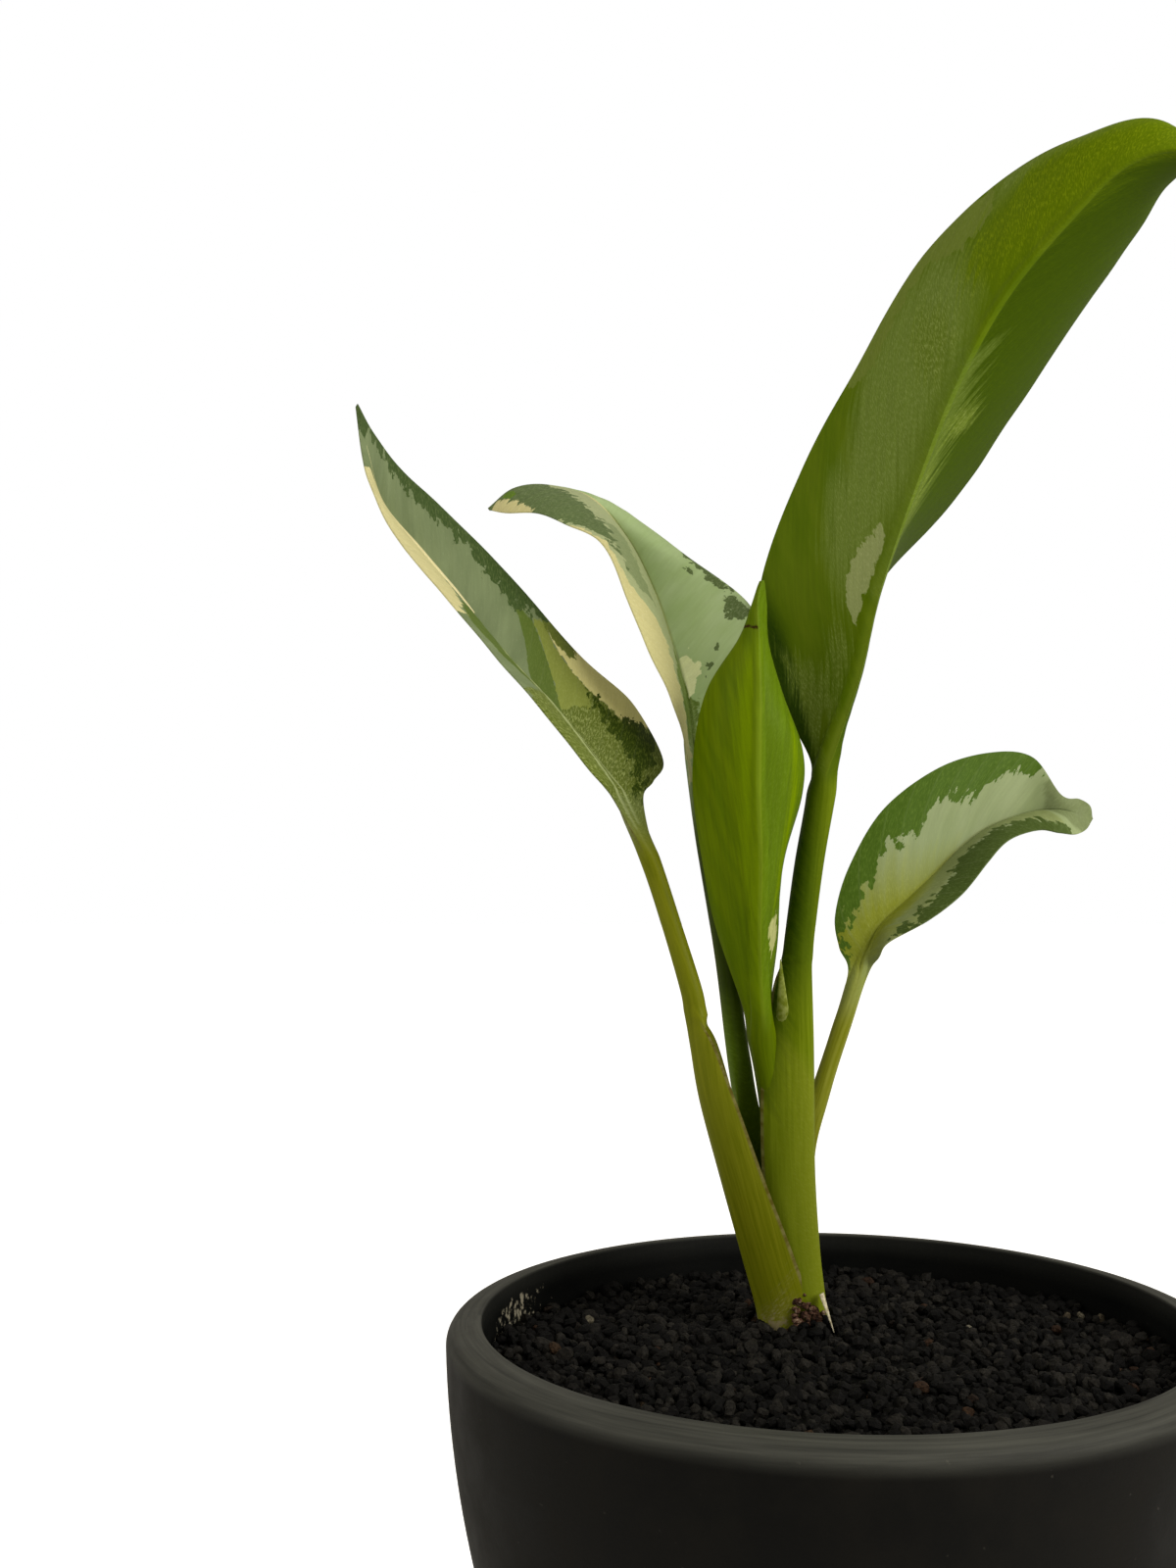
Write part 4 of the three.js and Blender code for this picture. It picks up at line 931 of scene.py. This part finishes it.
# The leaf that arches right at half height: pale silver-green, with a broad, jagged green border
# above, dark green along its lower margin and yellow-green at its foot.
right_stations = [
    stalk(-3.4, 26.6, 107, -105, 1.9, 2.6, 1),
    stalk(-3.7, 27.2, 118, -105, 1.9, 3, 2, -0.5),
    stalk(-3.4, 28.2, 133, -105, 1.9, 3, 2, -0.5),
    stalk(-2.2, 29.5, 147, -105, 1.9, 2.4, 1),
    stalk(1.6, 31, 159.5, -105, 1.8, 1.8),
    stalk(5.6, 32.5, 171, -105, 1.7, 1.7),
    blade((9.8, 34.5, 183), (7.6, 34, 183.5), (12, 33.8, 183.5), 1.7),
    blade((12.2, 35.6, 188), (6, 36.5, 188.8), (13.8, 31.5, 187), 1.6, 0.4),
    blade((15.5, 37, 193.5), (5.5, 39, 195.5), (15.5, 29, 190.5), 1.5, 0.6),
    blade((20.9, 39, 198.4), (9, 42, 206), (23.8, 28, 195.2), 1.2, 0.8),
    blade((27.4, 42, 203.9), (17, 45, 218.5), (30.9, 30, 200.1), 1, 1),
    blade((34, 45, 209.8), (29.5, 48, 227.5), (37.2, 33, 207.2), 0.9, 1),
    blade((41, 47, 214.5), (41.5, 50, 231), (43, 37, 212), 0.7, 0.8),
    blade((49.5, 48, 217.5), (51, 50, 230), (50, 40, 214), 0.5, 0.6),
    blade((55.8, 46.5, 218.2), (56.4, 46.5, 221.7), (54.5, 40.5, 213.4), 0.4, 0.4),
    blade((60.2, 47, 217.4), (60.6, 47.3, 220.7), (58.8, 44, 212.9), 0.3),
    blade((62.8, 48.4, 216.8), (63.2, 48.3, 219.2), (61.8, 46.6, 213.9), 0.2),
]
right_patches = {
    "foot": ("#7d8526", "#8a923a", 2.5, 4.0, [
        [(70, -1, 1), (76, -1, 1), (82, -1, 0.98), (88, -0.7, 0.8), (94, -0.45, 0.56), (100, -0.25, 0.4),
         (106, -0.1, 0.2), (112, 0, 0.06)]]),
    "grey": ("#7c8856", "#8a9564", 3.0, 0.6, [
        [(88, 0.5, 0.78), (94, 0.42, 0.64), (100, 0.32, 0.56), (106, 0.14, 0.5), (112, 0.05, 0.44),
         (120, 0.04, 0.46), (130, 0.02, 0.56), (138, 0, 0.7)]]),
    "border": ("#445f18", "#587228", 6.0, 0.1, [
        [(76, -1, -0.92), (80, -1, -0.78), (84.5, -1, -0.66), (87, -1, -0.6), (89, -1, -0.68),
         (90.3, -1, -0.48), (91.5, -1, -0.7), (94, -1, -0.72), (96, -1, -0.6), (98.5, -1, -0.55),
         (101.3, -1, -0.5), (103, -1, -0.62), (105.5, -1, -0.66), (108, -1, -0.56), (109.7, -1, -0.5),
         (111.5, -1, -0.55), (114, -1, -0.44), (116, -1, -0.58), (118, -1, -0.63), (121, -1, -0.7),
         (124, -1, -0.68), (126.7, -1, -0.7), (129, -1, -0.95)]]),
    "lower_edge": ("#40511f", "#586a38", 5.5, 0.12, [
        [(84, 0.97, 1), (88, 0.82, 1), (92, 0.66, 1), (95.7, 0.6, 1), (102, 0.54, 1), (105.5, 0.48, 1),
         (108.5, 0.4, 1), (114, 0.42, 1), (122, 0.46, 1), (132, 0.56, 1), (139, 0.75, 1)]]),
    "end": ("#6c7850", "#78845c", 3.0, 0.8, [
        [(132, -1, -0.7), (136, -1, -0.3), (140, -1, 0.4), (144, -1, 1), (156, -1, 1)]]),
}
silver_right = foliage("Pale leaf with green border", right_patches, blades=("#87956a", "#919e76"),
                       petioles=("#6d720a", "#84882a"), fleck="#a2ac82", vein="#9fab80", rib="#959a50",
                       other="#8c977a")
grow_leaf("leaf_right", right_stations, right_patches, silver_right, end=(63.9, 49.4, 216.3),
          first_blade=6, slant=0.9, seed=5.0)

# Stem: the short crown that the sheaths stand on, barky brown with pale crusts of old tissue. It is
# woody and tapers downwards, and all but its top is buried in the bed.
STEM_FOOT = 90
CROWN_TOP = 117
CROWN_RADIUS = 7
CROWN_TURNS = 48
BARK_WIDTH = 1.6
BARK_HEIGHT = 1.2
BARK_RELIEF = 0.05
SCALE_WIDTH = 1.3
made = turned([(0, STEM_FOOT), (4.5, 91), (6.4, 95), (CROWN_RADIUS, 102), (CROWN_RADIUS, 109), (6.5, 111),
               (5.6, 113), (5, 115), (4, 116.4), (2.4, 116.9), (0, CROWN_TOP)], CROWN_TURNS)
for vert in made.verts:
    bark = noise.noise(Vector((vert.co.x / BARK_WIDTH, vert.co.y / BARK_WIDTH, vert.co.z / BARK_HEIGHT)))
    swell = 1 + BARK_RELIEF * bark
    vert.co = Vector((vert.co.x * swell + CROWN.x, vert.co.y * swell + CROWN.y, vert.co.z))

# Old bark is quite matt, flaky, and in every brown from near black to bleached.
bark_brown, tree = bare_material("Crusted stem bark")
place = add(tree, "TexCoord", out="Object")
scales = add(tree, "TexNoise", {"Vector": place, "Scale": 1 / (SCALE_WIDTH * MM), "Detail": 6,
                                "Roughness": 0.75})
tones = add(tree, "ValToRGB", {0: scales}, out=None)
ramp = tones.color_ramp
ramp.elements[0].position = 0.38
ramp.elements[0].color = linear("#1c120c")
ramp.elements[1].position = 0.7
ramp.elements[1].color = linear("#a89f8c")
for position, tone in ((0.48, "#3c261c"), (0.56, "#5d4436"), (0.63, "#857562")):
    ramp.elements.new(position).color = linear(tone)
bump = add(tree, "Bump", {"Height": scales, "Distance": 0.5 * MM, "Strength": 0.8})
skin = add(tree, "BsdfPrincipled", {"Base Color": tones.outputs[0], "Roughness": 0.9, "Normal": bump,
                                    "Specular IOR Level": 0.15})
add(tree, "OutputMaterial", {"Surface": skin}, out=None)

crown = finished(made, "stem_crown", bark_brown)
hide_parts("stem")
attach(crown, "root")

# Crust: flakes of old, dried sheath stuck between the two front sheaths where they leave the soil. They
# are as brown and matt as the bark, heaped highest a third of the way along, and turned at random.
FLAKES = 120
FLAKE_SIZE = 0.55
CRUST_LEFT = -6
CRUST_WIDTH = 6.4
CRUST_FRONT = 15.1
CRUST_FOOT = 111.6
CRUST_TOP = 120.2
made = bmesh.new()
for flake in range(FLAKES):
    along = draw.random()
    x = CRUST_LEFT + CRUST_WIDTH * along + draw.uniform(-0.5, 0.5)
    top = CRUST_TOP - 5 * abs(along - 0.3) - 1.6 * along
    z = draw.uniform(CRUST_FOOT, top)
    y = CRUST_FRONT + 1.4 * (z - SOIL_TOP) / 7 + 2.6 * max(0, along - 0.62) + draw.uniform(-0.5, 0.5)
    size = FLAKE_SIZE * draw.uniform(0.6, 1.35)
    axis = Vector((draw.gauss(0, 1), draw.gauss(0, 1), draw.gauss(0, 1)))
    spin = Matrix.Rotation(draw.uniform(0, math.tau), 4, axis)
    where = Matrix.Translation((x, y, z)) @ spin @ Matrix.Scale(size, 4)
    crumb = crumbs[flake % CRUMB_KINDS]
    crumb.transform(where)
    made.from_mesh(crumb)
    crumb.transform(where.inverted())
crust = finished(made, "stem_crust", bark_brown)
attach(crust, "root")

# Dried points of sheath: one pale sliver of an old sheath hangs at the right of the crust with its
# point in the soil, and the large leaf's sheath ends in a papery ear beside its petiole.
SLIVER_ROOT = Vector((-0.5, 15.3, 120))
SLIVER_POINT = Vector((1.9, 14.2, 112.4))
SLIVER_RADIUS = 1.0
EAR_ROOT = Vector((-7.6, 18.3, 165))
EAR_POINT = Vector((-8.85, 14.4, 188))
EAR_RADIUS = 2.8
POINT_SIDES = 12
POINT_RADIUS = 0.12
STREAK_WIDTH = 1.2
FLATNESS = 0.45


def dried_sheath(name, dark, pale):
    """Dry sheath: matt and papery, with streaks of a darker and a paler colour."""
    material, tree = bare_material(name)
    place = add(tree, "TexCoord", out="Object")
    streaks = add(tree, "TexNoise", {"Vector": place, "Scale": 1 / (STREAK_WIDTH * MM), "Detail": 4,
                                     "Roughness": 0.6})
    colour = mottled(tree, streaks, 0.4, 0.6, dark, pale)
    skin = add(tree, "BsdfPrincipled", {"Base Color": colour, "Roughness": 0.8, "Specular IOR Level": 0.1})
    add(tree, "OutputMaterial", {"Surface": skin}, out=None)
    return material


def sheath_point(name, root, point, radius, material):
    """A flat, pointed piece of sheath from its root, sunk in its neighbour, to its point."""
    made = bmesh.new()
    lean = point - root
    aim = lean.to_track_quat("Z", "Y").to_matrix()
    bmesh.ops.create_cone(made, cap_ends=True, segments=POINT_SIDES, radius1=radius,
                          radius2=POINT_RADIUS, depth=lean.length)
    bmesh.ops.scale(made, vec=(1, FLATNESS, 1), verts=made.verts)
    bmesh.ops.rotate(made, cent=(0, 0, 0), matrix=aim, verts=made.verts)
    bmesh.ops.translate(made, vec=(root + point) / 2, verts=made.verts)
    piece = finished(made, name, material)
    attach(piece, "root")


sheath_point("stem_dry_sliver", SLIVER_ROOT, SLIVER_POINT, SLIVER_RADIUS,
             dried_sheath("Dried sheath", "#8d8466", "#cfc8ae"))
sheath_point("leaf_large_ear", EAR_ROOT, EAR_POINT, EAR_RADIUS,
             dried_sheath("Drying sheath margin", "#616d14", "#858e48"))
